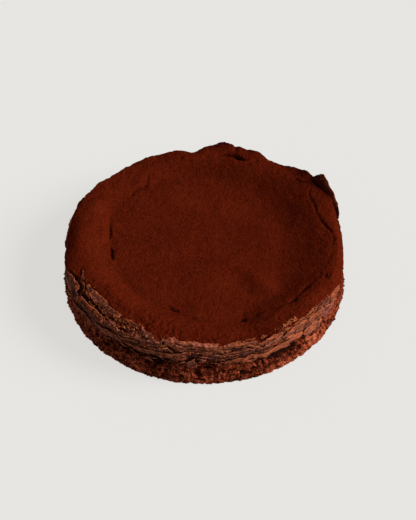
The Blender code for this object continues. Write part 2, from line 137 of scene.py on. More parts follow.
# Low ridges across the top: points as (x, y) in mm, half width and height in mm
TOP_RIDGES = (
    (((33.0, -24.0), (41.0, -33.0), (50.0, -42.0), (58.0, -49.0)), 8.5, 3.0),
    (((-87.0, -3.0), (-80.0, -12.0), (-72.8, -19.7), (-68.0, -27.0)), 1.3, 1.0),
    (((-10.0, -80.5), (8.0, -83.5), (26.0, -86.0), (39.3, -87.4)), 3.0, 0.7),
    (((-66.0, 60.0), (-56.0, 74.0), (-46.0, 86.0)), 6.0, 0.6),
    (((8.0, 52.0), (20.0, 48.0)), 8.0, 0.5),
    (((-22.0, 87.0), (-34.0, 82.0), (-47.0, 73.0)), 7.0, -1.0),
    (((-30.0, -58.0), (-20.0, -64.0), (-8.0, -66.0)), 5.0, -1.1),
)

# Cracks in the top: points as (x, y) in mm, half width and depth in mm
TOP_CRACKS = (
    (((-79.3, 46.1), (-78.3, 33.2), (-77.3, 21.5), (-78.1, 11.2)), 0.7, 0.5),
    (((-77.0, 23.5), (-77.6, 17.0), (-78.3, 11.0)), 0.7, 1.3),
    (((-77.2, 2.0), (-75.8, -3.0), (-75.2, -9.0), (-73.8, -13.0)), 1.1, 2.4),
    (((11.3, 102.0), (20.4, 102.0), (24.5, 100.7), (28.6, 99.0), (32.8, 96.7), (36.9, 96.0)), 1.5, 2.6),
    (((23.4, 101.2), (28.6, 99.0), (33.4, 96.4)), 1.8, 3.2),
    (((88.5, 68.3), (88.6, 58.7), (87.9, 51.5), (90.1, 44.4), (92.2, 33.8), (96.0, 25.7), (99.7, 17.6),
      (102.8, 13.0), (104.2, 7.2)), 0.9, 0.95),
    (((90.6, 42.0), (91.6, 36.0)), 1.0, 0.8),
    (((97.5, 22.5), (101.5, 15.5), (105.0, 9.5)), 0.9, 1.1),
    (((105.2, 8.0), (104.0, 1.0), (102.8, -6.0)), 0.9, 0.9),
    (((75.2, 74.7), (80.1, 69.2), (87.5, 66.2)), 1.1, 1.4),
    (((88.0, 73.0), (94.1, 66.5), (97.3, 61.7), (102.0, 55.8), (106.8, 45.4)), 1.5, 3.4),
    (((44.0, -70.5), (52.4, -68.8), (61.0, -66.5), (70.3, -61.8), (76.0, -54.5), (81.0, -49.5),
      (86.2, -43.5), (94.5, -35.5)), 1.4, 0.9),
    (((66.0, -64.6), (70.3, -61.8), (73.5, -58.0)), 1.1, 1.9),
    (((78.0, -52.4), (81.0, -49.6), (84.0, -46.6)), 1.3, 1.9),
    (((95.0, -39.5), (98.5, -33.5)), 1.2, 1.4),
    (((-30.0, -62.5), (-25.5, -66.5), (-20.5, -69.5)), 1.5, 2.0),
    (((-21.0, -69.5), (-12.9, -75.9), (-3.4, -79.1), (8.0, -79.5)), 1.8, 0.7),
    (((27.2, -76.6), (32.8, -79.1)), 1.9, 2.0),
    (((36.0, -76.0), (47.5, -70.8)), 1.8, 0.9),
    (((44.2, -101.0), (51.4, -102.9)), 1.4, 1.6),
    (((-46.8, 87.2), (-48.3, 77.4), (-51.5, 70.2), (-59.0, 66.6), (-62.1, 59.4), (-65.4, 55.8)), 1.2, 1.2),
    (((-97.5, -38.0), (-99.5, -30.5), (-97.8, -26.0)), 0.9, 1.0),
)
# Round dimples in the top: x, y, radius and depth in mm
TOP_DIMPLES = (
    (-20.2, 99.9, 1.8, 1.0), (-13.4, 98.6, 1.3, 0.7), (-34.9, 87.5, 1.5, 0.7), (-60.4, 62.5, 1.4, 0.8),
    (-68.5, 53.0, 1.6, 0.8), (35.5, -45.0, 4.0, 0.9), (-95.0, 24.0, 2.4, 0.5), (98.0, -38.0, 1.6, 0.7),
    (93.0, -34.5, 1.4, 0.7), (101.5, -44.0, 1.2, 0.6), (106.0, 3.0, 1.4, 0.8), (-71.0, -93.0, 1.8, 1.0),
    (44.0, 96.0, 2.0, 0.9), (101.0, 24.0, 1.2, 0.5), (6.0, -103.0, 1.2, 0.7), (22.0, -104.0, 1.4, 0.8),
)
# The depth in mm from which a crack in the top or a hollow in the side is painted fully dark as shade, and
# a dimple's share of that painted shade
CRACK_SHADE_DEPTH, HOLLOW_SHADE_DEPTH, DIMPLE_SHADE = 2.2, 1.8, 0.5

# Unevenness of the top: how high, and how far from one hump to the next
CRACK_WOBBLES = ((0.6 * MM, 3.0 * MM), (0.9 * MM, 8.0 * MM))
FLOOR_WAVES = (0.7 * MM, 34.0 * MM)
RIM_DIMPLES = (0.35 * MM, 9.0 * MM)
BRINK_WOBBLE = (0.9 * MM, 26.0 * MM)
BRINK_CHIPS = (0.7 * MM, 6.0 * MM)
BRINK_JAGS = (0.8 * MM, 7.0 * MM)
FINE_WAVES = ((0.16 * MM, 11.0 * MM), (0.12 * MM, 4.4 * MM), (0.11 * MM, 2.1 * MM))
RIM_ROUGH = ((0.30 * MM, 5.0 * MM), (0.42 * MM, 2.3 * MM), (0.20 * MM, 1.2 * MM))
BRINK_NIBBLES = (0.32 * MM, 2.3 * MM)
# How rough the inner slope and the shoulder are, and where more or less so: angle, half width, change
SLOPE_ROUGH, SHOULDER_ROUGH = 0.6, 0.4
ROUGH_STRETCHES = ((248.0, 48.0, 1.4), (300.0, 40.0, 0.3), (165.0, 52.0, -0.75), (80.0, 50.0, -0.4))

# The second bake's side
UPPER_BULGE = 1.2 * MM
UNDERCUT_DEPTH = 4.6 * MM
UNDERCUT_SHARE = 0.15
UNDERCUT_RISE = 3.2 * MM
CLOSED_SEAM_SHARE = 0.25
SEAM_RAGGED, SEAM_RAGGED_LENGTH = 0.3, 9.0 * MM
FOLD_DEPTH, FOLD_LENGTH, FOLD_RISE = 0.85 * MM, 15.0 * MM, 4.0 * MM
CREASE_DEPTH, CREASE_LENGTH, CREASE_RISE = 0.6 * MM, 5.0 * MM, 2.2 * MM
# Stretches where the second bake's lower edge lifts off the first bake: angle, half width in degrees, share
OPEN_SEAMS = (
    (301.0, 14.0, 0.6),
    (250.0, 24.0, 1.0),
    (222.0, 16.0, 0.5),
    (40.0, 22.0, 0.6),
    (120.0, 26.0, 0.7),
    (175.0, 18.0, 0.5),
)
# Torn papery layers: how far each stands out, its height, and how its line wanders
LAYER_DEPTH, LAYER_RISE = 1.6 * MM, 3.9 * MM
LAYER_WANDERS = ((1.3, 19.0 * MM, 8.0 * MM), (0.42, 5.0 * MM, 3.0 * MM), (0.16, 1.7 * MM, 4.0 * MM))
LAYER_STRETCH, LAYER_STEP = 13.0 * MM, 0.73
LAYER_SHARE, LAYER_CHANGE = 0.55, 1.3
LAYER_POWER, LAYER_SUNK = 1.5, 0.3
# How far up a layer the painted shade of its slit ends, and where its pale edge, partly a painted
# highlight, lies
SLIT_END, LIT_EDGE = 0.24, (0.74, 0.92)
WRINKLES = ((0.30 * MM, 3.4 * MM, 1.3 * MM), (0.18 * MM, 1.5 * MM, 0.9 * MM))
PINHOLE_DEPTH, PINHOLE_SIZE, PINHOLE_SHARE = 1.5 * MM, 2.4 * MM, 0.36
PINHOLE_PATCH_LENGTH, PINHOLE_PATCH_RISE = 12.0 * MM, 7.0 * MM
CRUST_STEP = 0.9 * MM
COCOA_CALM = 0.45
# Where the crust is smoother: angle, half width in degrees, share. No scraps lie where it is over BUSY_CALM
CRUST_CALMS = ((180.0, 30.0, 0.8), (218.0, 34.0, 0.55), (354.0, 34.0, 0.95), (320.0, 24.0, 0.7))
BUSY_CALM = 0.45
# How the hollows in the side wander: how far, over what length and over what height
HOLLOW_WOBBLES = ((0.5 * MM, 2.6 * MM, 2.2 * MM), (0.45 * MM, 2.4 * MM, 2.4 * MM))

# Hollows in the side of either bake, painted dark as shade by their depth: points as (angle, climb in mm),
# half width and depth in mm
HOLLOWS = (
    (((205, 20.8), (210, 21.2), (216, 21.6), (222, 21.4), (226, 20.6)), 1.0, 2.4),
    (((224, 20.2), (228, 19.6), (233, 19.2), (238, 19.4)), 1.1, 3.2),
    (((248, 19.0), (252, 17.6)), 0.8, 1.4),
    (((262.4, 13), (261.5, 8), (262.3, 2)), 1.0, 3.0),
    (((250.4, 12.9), (251.4, 12.0)), 1.2, 2.0),
    (((254, 16.0), (256, 13.5), (258, 12.5)), 1.9, 1.6),
    (((276, 15.2), (283, 14.2), (289, 12.2), (293, 11.6)), 0.8, 1.5),
    (((274.6, 11.2), (276.2, 10.4)), 1.1, 1.8),
    (((280, 14.6), (281.4, 13.4)), 0.9, 1.5),
    (((287, 12.6), (291.5, 11.2)), 1.0, 2.0),
    (((294.6, 12.2), (299, 12.4)), 1.2, 2.4),
    (((302, 15.9), (307, 15.7), (312, 14.9), (314.5, 13.6)), 1.2, 3.0),
    (((317.6, 12.4), (319.8, 9.0)), 1.2, 1.8),
    (((314.6, 15.9), (317.4, 14.6)), 0.9, 1.4),
    (((314, 17.6), (320, 17.3), (326, 17.3), (331, 17.6)), 0.8, 1.4),
    (((268.6, 5.4), (272.4, 4.4)), 1.3, 2.6),
    (((276.6, -1.5), (277.4, 2.5)), 1.1, 2.4),
    (((197, 20.4), (203, 19.4), (209, 18.6)), 1.2, 2.4),
    (((194, 22.4), (199, 21.2)), 0.9, 1.6),
    (((202, 25.0), (206, 22.6)), 0.8, 1.6),
    (((210, 10.5), (216, 8.5)), 1.8, 1.8),
    (((219.5, 12.5), (222, 9.5)), 1.6, 1.8),
    (((223.5, 6.5), (224.2, 0.0)), 1.5, 2.2),
    (((205, 14.5), (208, 11.5)), 2.2, 1.8),
    (((232, 12.0), (234, 10.4)), 1.1, 1.4),
    (((243, 13.0), (245, 12.0)), 1.1, 1.5),
    (((287, -5.8), (293, -5.6), (298, -5.4), (303, -6.2), (307, -5.6), (310, -4.8), (314, -5.0)), 2.7, 6.0),
    (((306.2, -5.0), (307.4, -1.0), (307.2, 3.6)), 1.3, 3.6),
    (((315.5, -8.0), (320, -9.6), (325, -9.0)), 1.2, 2.0),
    (((324, 3.0), (327, -3.0), (330, -4.0)), 0.9, 1.6),
    (((249, -1.0), (249.4, -3.4)), 0.9, 2.2),
    (((249.6, -5.6), (251.6, -6.6)), 1.3, 2.8),
    (((253.6, -9.0), (255.2, -13.4)), 1.4, 2.6),
    (((266, -8.0), (267.4, -13.4)), 1.7, 3.2),
    (((269, -5.4), (273.4, -4.0)), 1.5, 3.2),
    (((277.4, -7.6), (278, -11.4)), 1.3, 2.7),
    (((283.6, -15.4), (285.8, -14.0)), 1.3, 2.2),
    (((288.6, -10.4), (291.4, -11.2)), 1.3, 2.2),
    (((299.6, -8.0), (301.8, -9.6)), 1.1, 1.8),
    (((313, -10.0), (316.4, -12.4)), 1.5, 2.4),
    (((326, -4.4), (329.4, -6.8)), 1.5, 2.6),
    (((228.6, -8.6), (225.6, -12.4)), 1.8, 2.3),
    (((221.4, -6.6), (219.6, -10.4)), 1.8, 2.0),
    (((234, -2.6), (232.6, -6.4)), 1.3, 1.8),
    (((243.4, -10.6), (243.8, -12.0)), 1.1, 1.4),
    (((300, -6.6), (306, -7.4), (311, -6.2)), 2.6, 5.0),
    (((200, 21.0), (203, 14.0), (206, 6.0)), 1.6, 1.8),
    (((207.5, 19.0), (211, 12.0), (213.5, 5.0)), 1.5, 1.8),
    (((228, -2.0), (236, -3.2), (243, -3.6), (251, -3.4), (259, -2.6)), 2.4, 3.4),
    (((245, -8.0), (248, -10.0)), 1.8, 2.6),
)

# The first bake's side
LOWER_WAIST = 2.6 * MM
FOOT_FLARE = 3.4 * MM
FLARE_POWER = 1.5
FOOT_ROUNDING, FOOT_SHARE = 0.9 * MM, 0.12
LOWER_RIM_INSET, LOWER_RIM_SHARE = 1.2 * MM, 0.14
LOWER_RIM_DROP = 0.9 * MM
LUMP_HEIGHT, LUMP_SIZE = 0.8 * MM, 8.0 * MM
PIT_DEPTH, PIT_SIZE, PIT_SHARE = 4.2 * MM, 3.6 * MM, 0.24
FLATTENED = 0.7
# Crumbs that the side is made of: how high they stand and how wide they are
CRUMB_RELIEF = ((0.8 * MM, 3.2 * MM), (0.55 * MM, 1.6 * MM))
CRUMB_REACH = 0.6
CRUMB_ROUGH = ((0.40 * MM, 3.0 * MM), (0.28 * MM, 1.2 * MM))
# Ledges of the first bake under the open seam, and where its side is smoother and where cocoa dusts it:
# angle, half width in degrees, size or share
LEDGES = ((303.0, 20.0, 2.0 * MM),)
LEDGE_CLIMB, LEDGE_WIDTH = -11.5 * MM, 3.4 * MM
SMOOTH_STRETCHES = ((242.0, 10.0, 0.85), (208.0, 26.0, 0.5), (340.0, 14.0, 0.6))
DUSTED_STRETCHES = ((5.0, 44.0, 0.95),)
# Dark and pale bands of the crumb: angle, half width in degrees, climb, half height, change. The dark bands
# are painted shade just under the seam and under the hanging sheet of crust; the pale bands are the crumb's
# tone
CRUMB_BANDS_AND_SEAM_SHADE = (
    (302.0, 22.0, -8.0 * MM, 4.5 * MM, -0.50),
    (306.0, 32.0, -18.0 * MM, 5.5 * MM, 0.30),
    (262.0, 26.0, -17.0 * MM, 5.0 * MM, 0.14),
    (250.0, 30.0, -2.0 * MM, 5.0 * MM, -0.30),
)

# How pale the crust and the crumb are round the cake: angle, half width in degrees, change. Their paler
# sides towards the sun at the right and darker sides at the left, away from it, are painted light and
# shade; the rest is their own tone
CRUST_TONE, CRUST_WARMTH, CRUMB_TONE = 0.30, 0.55, 0.5
CRUST_TONES_AND_SIDE_LIGHT = (
    (212.0, 34.0, -0.36), (246.0, 16.0, -0.10), (284.0, 10.0, -0.12), (310.0, 28.0, 0.6),
    (334.0, 14.0, 0.1), (350.0, 26.0, 0.25), (60.0, 60.0, 0.2),
)
CRUST_WARMTHS = ((214.0, 40.0, 0.3), (350.0, 30.0, 0.4))
CRUMB_TONES_AND_SIDE_LIGHT = ((322.0, 40.0, 0.28), (228.0, 34.0, -0.18), (40.0, 60.0, 0.10))
# Dark and pale bands of the crust: angle, half width in degrees, climb, half height, change
CRUST_BANDS = (
    (270.0, 32.0, 19.5 * MM, 3.0 * MM, 0.42),
    (262.0, 36.0, 6.0 * MM, 7.0 * MM, -0.20),
    (214.0, 36.0, 8.0 * MM, 9.0 * MM, -0.16),
)
# Patches of tone on the side: how much, over what length and over what height
TONE_PATCHES = (0.30, 9.0 * MM, 4.0 * MM)
WARMTH_PATCHES = (0.6, 12.0 * MM, 5.0 * MM)
CRUMB_PATCHES = (0.3, 11.0 * MM, 6.0 * MM)

# Papery crust flakes: angle, climb of the flake's middle, half length along the rim, half height, how far
# it stands off the cake, how much it slants up, warmth from grey-mauve to orange-brown, paleness
SIDE_FLAKES = (
    (218.5, 26.6 * MM, 24.0 * MM, 2.8 * MM, 1.1 * MM, 0.10, 0.45, 0.34),
    (226.0, 24.0 * MM, 8.0 * MM, 1.5 * MM, 0.9 * MM, 0.1, 0.6, 0.2),
    (237.0, 25.0 * MM, 12.0 * MM, 2.2 * MM, 0.8 * MM, 0.0, 1.0, 0.14),
    (201.0, 26.4 * MM, 4.5 * MM, 0.9 * MM, 1.6 * MM, -0.9, 1.0, 0.4),
    (205.5, 23.4 * MM, 6.0 * MM, 0.9 * MM, 1.2 * MM, -0.7, 0.8, 0.3),
    (201.5, 17.0 * MM, 9.0 * MM, 3.0 * MM, 0.7 * MM, 0.3, 0.6, 0.14),
    (217.0, 15.8 * MM, 17.0 * MM, 3.8 * MM, 0.8 * MM, 0.0, 0.8, 0.16),
    (229.2, 17.4 * MM, 5.0 * MM, 2.1 * MM, 1.6 * MM, 0.0, 0.1, 0.38),
    (234.6, 15.8 * MM, 5.0 * MM, 1.9 * MM, 1.3 * MM, 0.0, 0.7, 0.24),
    (246.0, 21.2 * MM, 6.0 * MM, 2.2 * MM, 1.9 * MM, -0.5, 0.0, 0.56),
    (251.0, 18.4 * MM, 3.5 * MM, 1.4 * MM, 1.2 * MM, 0.2, 0.2, 0.35),
    (255.8, 21.0 * MM, 7.0 * MM, 2.3 * MM, 1.6 * MM, 0.1, 0.4, 0.92),
    (267.0, 19.4 * MM, 17.0 * MM, 2.1 * MM, 1.2 * MM, -0.3, 0.3, 0.84),
    (284.5, 17.4 * MM, 14.0 * MM, 1.4 * MM, 0.9 * MM, -0.5, 0.35, 0.74),
    (297.5, 15.0 * MM, 10.0 * MM, 1.7 * MM, 1.0 * MM, 0.2, 0.45, 0.5),
    (265.2, -1.2 * MM, 3.8 * MM, 6.0 * MM, 1.3 * MM, 0.0, 0.15, 0.42),
    (259.0, 7.5 * MM, 8.0 * MM, 3.3 * MM, 1.3 * MM, 0.0, 0.8, 0.5),
    (284.5, 10.2 * MM, 17.0 * MM, 2.3 * MM, 1.3 * MM, 0.2, 0.0, 0.2),
    (284.0, 2.4 * MM, 12.0 * MM, 3.0 * MM, 1.4 * MM, 0.35, 0.9, 0.46),
    (295.2, 6.6 * MM, 5.0 * MM, 1.5 * MM, 1.8 * MM, 0.0, 0.1, 0.5),
    (301.0, 4.0 * MM, 23.0 * MM, 3.9 * MM, 2.2 * MM, 0.25, 0.75, 0.85),
    (307.5, 12.2 * MM, 11.0 * MM, 2.9 * MM, 1.7 * MM, 0.1, 0.35, 0.6),
    (318.0, 3.4 * MM, 11.0 * MM, 6.2 * MM, 1.7 * MM, -0.2, 0.6, 0.7),
    (320.0, 13.2 * MM, 9.0 * MM, 2.6 * MM, 1.4 * MM, 0.0, 0.7, 0.55),
    (328.6, 5.0 * MM, 8.0 * MM, 7.8 * MM, 1.4 * MM, -0.3, 0.0, 0.42),
    (246.0, 7.8 * MM, 14.0 * MM, 2.4 * MM, 1.5 * MM, 0.0, 0.5, 0.3),
    (228.0, 9.5 * MM, 12.0 * MM, 2.8 * MM, 1.4 * MM, 0.1, 0.6, 0.3),
    (212.0, 4.5 * MM, 14.0 * MM, 2.8 * MM, 1.3 * MM, 0.0, 0.4, 0.28),
    (192.0, 9.0 * MM, 13.0 * MM, 3.4 * MM, 0.8 * MM, 0.1, 0.6, 0.25),
    (172.0, 10.0 * MM, 12.0 * MM, 2.8 * MM, 0.7 * MM, 0.0, 0.6, 0.3),
    (150.0, 10.0 * MM, 15.0 * MM, 3.4 * MM, 1.6 * MM, 0.1, 0.5, 0.5),
    (131.0, 5.0 * MM, 12.0 * MM, 3.2 * MM, 1.5 * MM, -0.1, 0.2, 0.4),
    (112.0, 11.0 * MM, 16.0 * MM, 3.4 * MM, 1.6 * MM, 0.1, 0.2, 0.5),
    (90.0, 6.0 * MM, 14.0 * MM, 3.4 * MM, 1.6 * MM, 0.0, 0.7, 0.55),
    (73.0, 12.0 * MM, 11.0 * MM, 2.8 * MM, 1.6 * MM, 0.2, 0.6, 0.45),
    (55.0, 6.0 * MM, 14.0 * MM, 3.4 * MM, 1.5 * MM, -0.1, 0.4, 0.5),
    (38.0, 11.0 * MM, 12.0 * MM, 3.0 * MM, 1.5 * MM, 0.1, 0.8, 0.5),
    (8.0, 4.0 * MM, 13.0 * MM, 3.2 * MM, 0.9 * MM, 0.0, 0.8, 0.4),
)
FLAKE_THICKNESS, FLAKE_EDGE_THICKNESS = 1.6 * MM, 0.35 * MM
FLAKE_TAPER = 0.86
FLAKE_RAGGED = 0.22
FLAKE_LOBES = 2.7
FLAKE_WAVE = 0.3
FLAKE_HELD_SHARE = 0.35
FLAKE_NIBBLES = ((0.55 * MM, 4.2 * MM), (0.32 * MM, 1.5 * MM))
FLAKE_WRINKLES = ((0.24 * MM, 4.4 * MM, 1.6), (0.08 * MM, 1.5 * MM, 4.5))
FLAKE_CALM, FLAKE_GAP = 0.8, 0.9 * MM
FLAKE_MOTTLE, FLAKE_MOTTLE_LENGTH = 0.25, 5.0 * MM
# How far inside the cocoa's line flakes stay bare, and the dust on those on the rim, both in mm
FLAKE_BARE = 5.0
RIM_DUST, RIM_DUST_CHANGE = -6.5, 3.0
ROLL_OVER = 3.0 * MM
# Upright crags of crust on the rim: angle, half length along the rim, height, outward lean, cocoa in mm
RIM_CRAGS = (
    (173.0, 16.0 * MM, 3.6 * MM, 0.6 * MM, 6.0),
    (80.0, 9.0 * MM, 2.4 * MM, 0.5 * MM, 6.0),
)
CRAG_THICKNESS, CRAG_EDGE_THICKNESS = 1.8 * MM, 0.4 * MM
CRAG_ROOT = 3.0 * MM
CRAG_INSET = 0.4 * MM
CRAG_PEAK = 0.25
CRAG_TAPER = 0.34
CRAG_JAGS = 0.22
CRAG_NIBBLES = 0.05
CRAG_WRINKLE = 0.3 * MM
CRAG_CURL = 1.5
CRAG_SUNK_SHARE = 0.35
# The tall flap of crust beyond the crack at the upper right: its upper edge as (angle, height in mm)
FLAP_EDGE = (
    (16, 41.5), (19, 43), (21, 44.2), (23, 46), (24.4, 49.5), (26, 50.2), (28, 51.2), (30, 53.6),
    (32, 55.8), (33.2, 56.8), (34.6, 55.0), (36, 52.4), (37.6, 49.0), (39, 46.0),
)
FLAP_ROOT_RADIUS, FLAP_EDGE_RADIUS = 115.2 * MM, 118.4 * MM
FLAP_ROOT_DEPTH = 3.0 * MM
FLAP_THICKNESS, FLAP_EDGE_THINNER = 1.3 * MM, 0.9 * MM
FLAP_NIBBLES = (0.5 * MM, 1.6 * MM)
FLAP_WRINKLE = 0.35 * MM
# How its ends bend in, and from and to how many degrees from its middle
FLAP_END_BEND, FLAP_END_TURNS = 2.6 * MM, (6.0, 12.5)

# Small torn scraps of crust between the flakes
SCRAP_COUNT = 300
SCRAP_LENGTHS = (1.2 * MM, 4.5 * MM)
SCRAP_HEIGHTS = (0.6 * MM, 1.7 * MM)
SCRAP_STAND_OFFS = (0.9 * MM, 1.9 * MM)
SCRAP_CLIMBS = (-1.0 * MM, 14.0 * MM)
# Thin bright slivers of crust on the rim: angle, half spread in degrees, climb, half spread, count
RIM_SLIVERS = (
    (304.5, 5.5, 20.0 * MM, 1.2 * MM, 11),
    (309.0, 1.8, 21.6 * MM, 1.4 * MM, 5),
    (320.0, 4.0, 18.6 * MM, 0.5 * MM, 4),
    (273.0, 22.0, 20.4 * MM, 0.9 * MM, 18),
    (222.0, 16.0, 22.0 * MM, 3.0 * MM, 16),
)
SLIVER_LENGTHS = (0.8 * MM, 3.6 * MM)
SLIVER_HEIGHTS = (0.25 * MM, 0.55 * MM)
SLIVER_STAND_OFFS = (0.7 * MM, 1.5 * MM)
SLIVER_WARMTH, SLIVER_TONES = 0.9, (0.5, 1.1)

# Crumbs: counts and radii, for those on the first bake's side, along the seam, and broken off the rim
SIDE_CRUMBS, SIDE_CRUMB_RADII = 1750, (0.40 * MM, 1.3 * MM)
SEAM_CRUMBS = 420
# Seam crumbs: their climbs, their radius in the open seam, and how deep they sit in the side above it
SEAM_CRUMB_CLIMBS = (-1.5 * MM, 4.0 * MM)
SEAM_SHELF_RADIUS, SEAM_CRUMB_SUNK = 111.2 * MM, 0.4 * MM
LUMP_KNOBS, LUMP_STRETCHES = 0.32, (0.65, 1.15)
# Clusters of crust crumbs on the rim: angle, half spread in degrees, radius in mm, half spread in mm, count
RIM_CRUMB_CLUSTERS = (
    (305.5, 6.0, 109.8, 1.8, 26),
    (308.6, 2.4, 108.4, 1.4, 14),
    (319.0, 3.5, 111.6, 0.7, 10),
    (333.0, 4.0, 112.4, 0.9, 4),
    (255.0, 3.0, 108.0, 0.8, 10),
    (268.0, 8.0, 109.8, 0.7, 12),
    (285.0, 8.0, 112.8, 0.8, 14),
    (222.0, 20.0, 104.0, 3.0, 40),
    (238.0, 8.0, 108.0, 3.0, 24),
)
RIM_CRUMB_RADII = (0.25 * MM, 0.8 * MM)
# Pale specks that lie on the cocoa, as (x, y) in mm
SPECKS = ((-62.9, 11.3), (-5.9, -24.2))

# Mesh fineness: points round each bake, and rows up each side
UPPER_AROUND, LOWER_AROUND = 1280, 1280
UPPER_ROWS, LOWER_ROWS = 42, 54
# Bands of rings across the top: from and to a share of the brink's radius, rings, times fewer points
TOP_BANDS = (
    (1.0, 0.87, 28, 1), (0.87, 0.56, 38, 1), (0.56, 0.29, 30, 2), (0.29, 0.14, 15, 4), (0.14, 0.03, 12, 8),
)
# Rings of the hidden flat faces: radius in mm, how many times fewer points
HIDDEN_RINGS = ((104.0, 1), (84.0, 2), (50.0, 4))
# Points along and across each thin plate
FLAKE_GRID, SCRAP_GRID, CRAG_GRID, FLAP_GRID = (57, 19), (13, 7), (61, 25), (97, 29)

# Whole numbers that scramble a lattice cell into a random draw
CELL_FACTORS = (374761393, 668265263, 2147483647)
SEED_FACTOR, MIX_FACTOR = 974634777, 1274126177
SEED_STEP = 0.37
DRAW_SEED = 20260

# Linear colours. Cocoa: shaded, lit, and the painted shade in its tiny pits and in its cracks
COCOA_DEEP, COCOA_LIT = (0.038, 0.0032, 0.00075, 1), (0.084, 0.0092, 0.0026, 1)
COCOA_PIT_SHADE, COCOA_CRACK_SHADE = (0.014, 0.0014, 0.0007, 1), (0.008, 0.0009, 0.0005, 1)
# Crust: orange-brown and grey-mauve, partly a painted sheen, each shaded and lit; the painted shade in its
# pinholes, its pale torn edges, partly a painted highlight, and the painted shade in its hollows
WARM_DEEP, WARM_LIT = (0.046, 0.0068, 0.0020, 1), (0.310, 0.070, 0.0225, 1)
COOL_DEEP, COOL_LIT = (0.038, 0.0073, 0.0036, 1), (0.235, 0.065, 0.040, 1)
CRUST_PINHOLE_SHADE, CRUST_PALE_EDGE_AND_HIGHLIGHT = (0.012, 0.0028, 0.0014, 1), (0.42, 0.110, 0.042, 1)
CRUST_HOLLOW_SHADE = (0.010, 0.0022, 0.0011, 1)
# Crumb: shaded, lit, its pale bits and the painted shade in its pits
CRUMB_DEEP, CRUMB_LIT = (0.026, 0.0028, 0.0009, 1), (0.230, 0.040, 0.0140, 1)
CRUMB_PALE, CRUMB_PIT_SHADE = (0.385, 0.100, 0.052, 1), (0.010, 0.0018, 0.0009, 1)

# Floor, room light and sun, the sun's turns about Y and Z in degrees
FLOOR_SIZE, FLOOR_DROP = 8.0, 0.1 * MM
FLOOR_COLOUR, ROOM_COLOUR = (0.10, 0.0987, 0.0956, 1.0), (0.787, 0.776, 0.750, 1.0)
FLOOR_GLOW, ROOM_LIGHT = 0.849, 0.42
SUN_STRENGTH, SUN_SPREAD = 5.6, math.radians(34.0)
SUN_TILT, SUN_TURN = math.radians(57.5), math.radians(-6.0)

# Camera, with the frame's size and the cake's middle in it in pixels
FRAME_WIDTH, FRAME_HEIGHT = 416, 520
CAMERA_DISTANCE = 1.6
CAMERA_ELEVATION = math.radians(46.74)
PIXELS_PER_METRE = 1206.4
CAKE_MIDDLE = (204.34, 277.9)
SENSOR = 36.0


# Random draws and smooth noise


def draw(cells, seed):
    """A number from 0 to 1 for each lattice cell, the same on every run."""
    mixed = seed * SEED_FACTOR
    for cell, factor in zip(cells, CELL_FACTORS):
        mixed = mixed + cell * factor
    mixed = ((mixed ^ (mixed >> 13)) & 0xFFFFFFF) * MIX_FACTOR
    return ((mixed ^ (mixed >> 16)) & 0xFFFF) / 65535.0


def lattice_noise(x, y, z, seed):
    """Smooth noise from -1 to 1 with one feature per unit."""
    x, y, z = np.broadcast_arrays(x, y, z)
    cells = [np.floor(v).astype(np.int64) for v in (x, y, z)]
    parts = [v - c for v, c in zip((x, y, z), cells)]
    eased = [p * p * (3.0 - 2.0 * p) for p in parts]
    total = np.zeros(np.shape(x))
    for steps in itertools.product((0, 1), repeat=3):
        weight = np.ones_like(total)
        for step, share in zip(steps, eased):
            weight = weight * (share if step else 1.0 - share)
        total = total + weight * (2.0 * draw([cell + step for cell, step in zip(cells, steps)], seed) - 1.0)
    return total


def crumb_domes(x, y, z, seed):
    """Rounded lumps, one in each unit cell at a random place: 1 on a lump's top and 0 between lumps."""
    x, y, z = np.broadcast_arrays(x, y, z)
    cells = [np.floor(v).astype(np.int64) for v in (x, y, z)]
    nearest = np.full(np.shape(x), 4.0)
    for steps in itertools.product((-1, 0, 1), repeat=3):
        cell = [c + step for c, step in zip(cells, steps)]
        away = [c + draw(cell, seed + axis) - v for axis, (c, v) in enumerate(zip(cell, (x, y, z)))]
        nearest = np.minimum(nearest, away[0] ** 2 + away[1] ** 2 + away[2] ** 2)
    return np.sqrt(np.clip(1.0 - nearest / CRUMB_REACH, 0.0, 1.0))


def side_noise(angle, height, along, up, seed):
    """Noise on the cake's side, with features of the size along in plan and up in height."""
    x, y = plan(angle, CAKE_RADIUS)
    return lattice_noise(x / along, y / along, height / up + SEED_STEP * seed, seed)


def rim_noise(angle, unevenness, seed):
    size, spacing = unevenness
    return size * side_noise(angle, 0.0, spacing, 1.0, seed)


def top_noise(x, y, unevenness, seed):
    size, spacing = unevenness
    return size * lattice_noise(x / spacing, y / spacing, 0.0, seed)


# Plain shape helpers


def swell(angle, centre, half_width):
    """1 at the centre and 0 from half_width degrees away, round the full circle."""
    away = np.abs((angle - centre + 180.0) % 360.0 - 180.0)
    return 0.5 + 0.5 * np.cos(np.pi * np.minimum(away / half_width, 1.0))


def swells(angle, table):
    return sum(rise * swell(angle, centre, half_width) for centre, half_width, rise in table)


def ease(value, low, high):
    """0 up to low, 1 from high, and smooth between them."""
    share = np.clip((value - low) / (high - low), 0.0, 1.0)
    return share * share * (3.0 - 2.0 * share)


def ridge(distance, half_width):
    """1 on a line, falling smoothly to 0 on both sides of it."""
    return np.exp(-((distance / half_width) ** 2))


def plan(angle, radius):
    turn = np.radians(angle)
    return radius * np.cos(turn), radius * np.sin(turn)


def closed_line(angle, points, smoothing=LINE_SMOOTHING):
    """Radius of a smooth closed line through (angle, radius in mm) points."""
    places, radii = np.array(points, dtype=float).T
    turns = smoothing * np.array((-2.0, -1.0, 0.0, 1.0, 2.0))
    return MM * sum(np.interp(angle + turn, places, radii, period=360.0) for turn in turns) / len(turns)


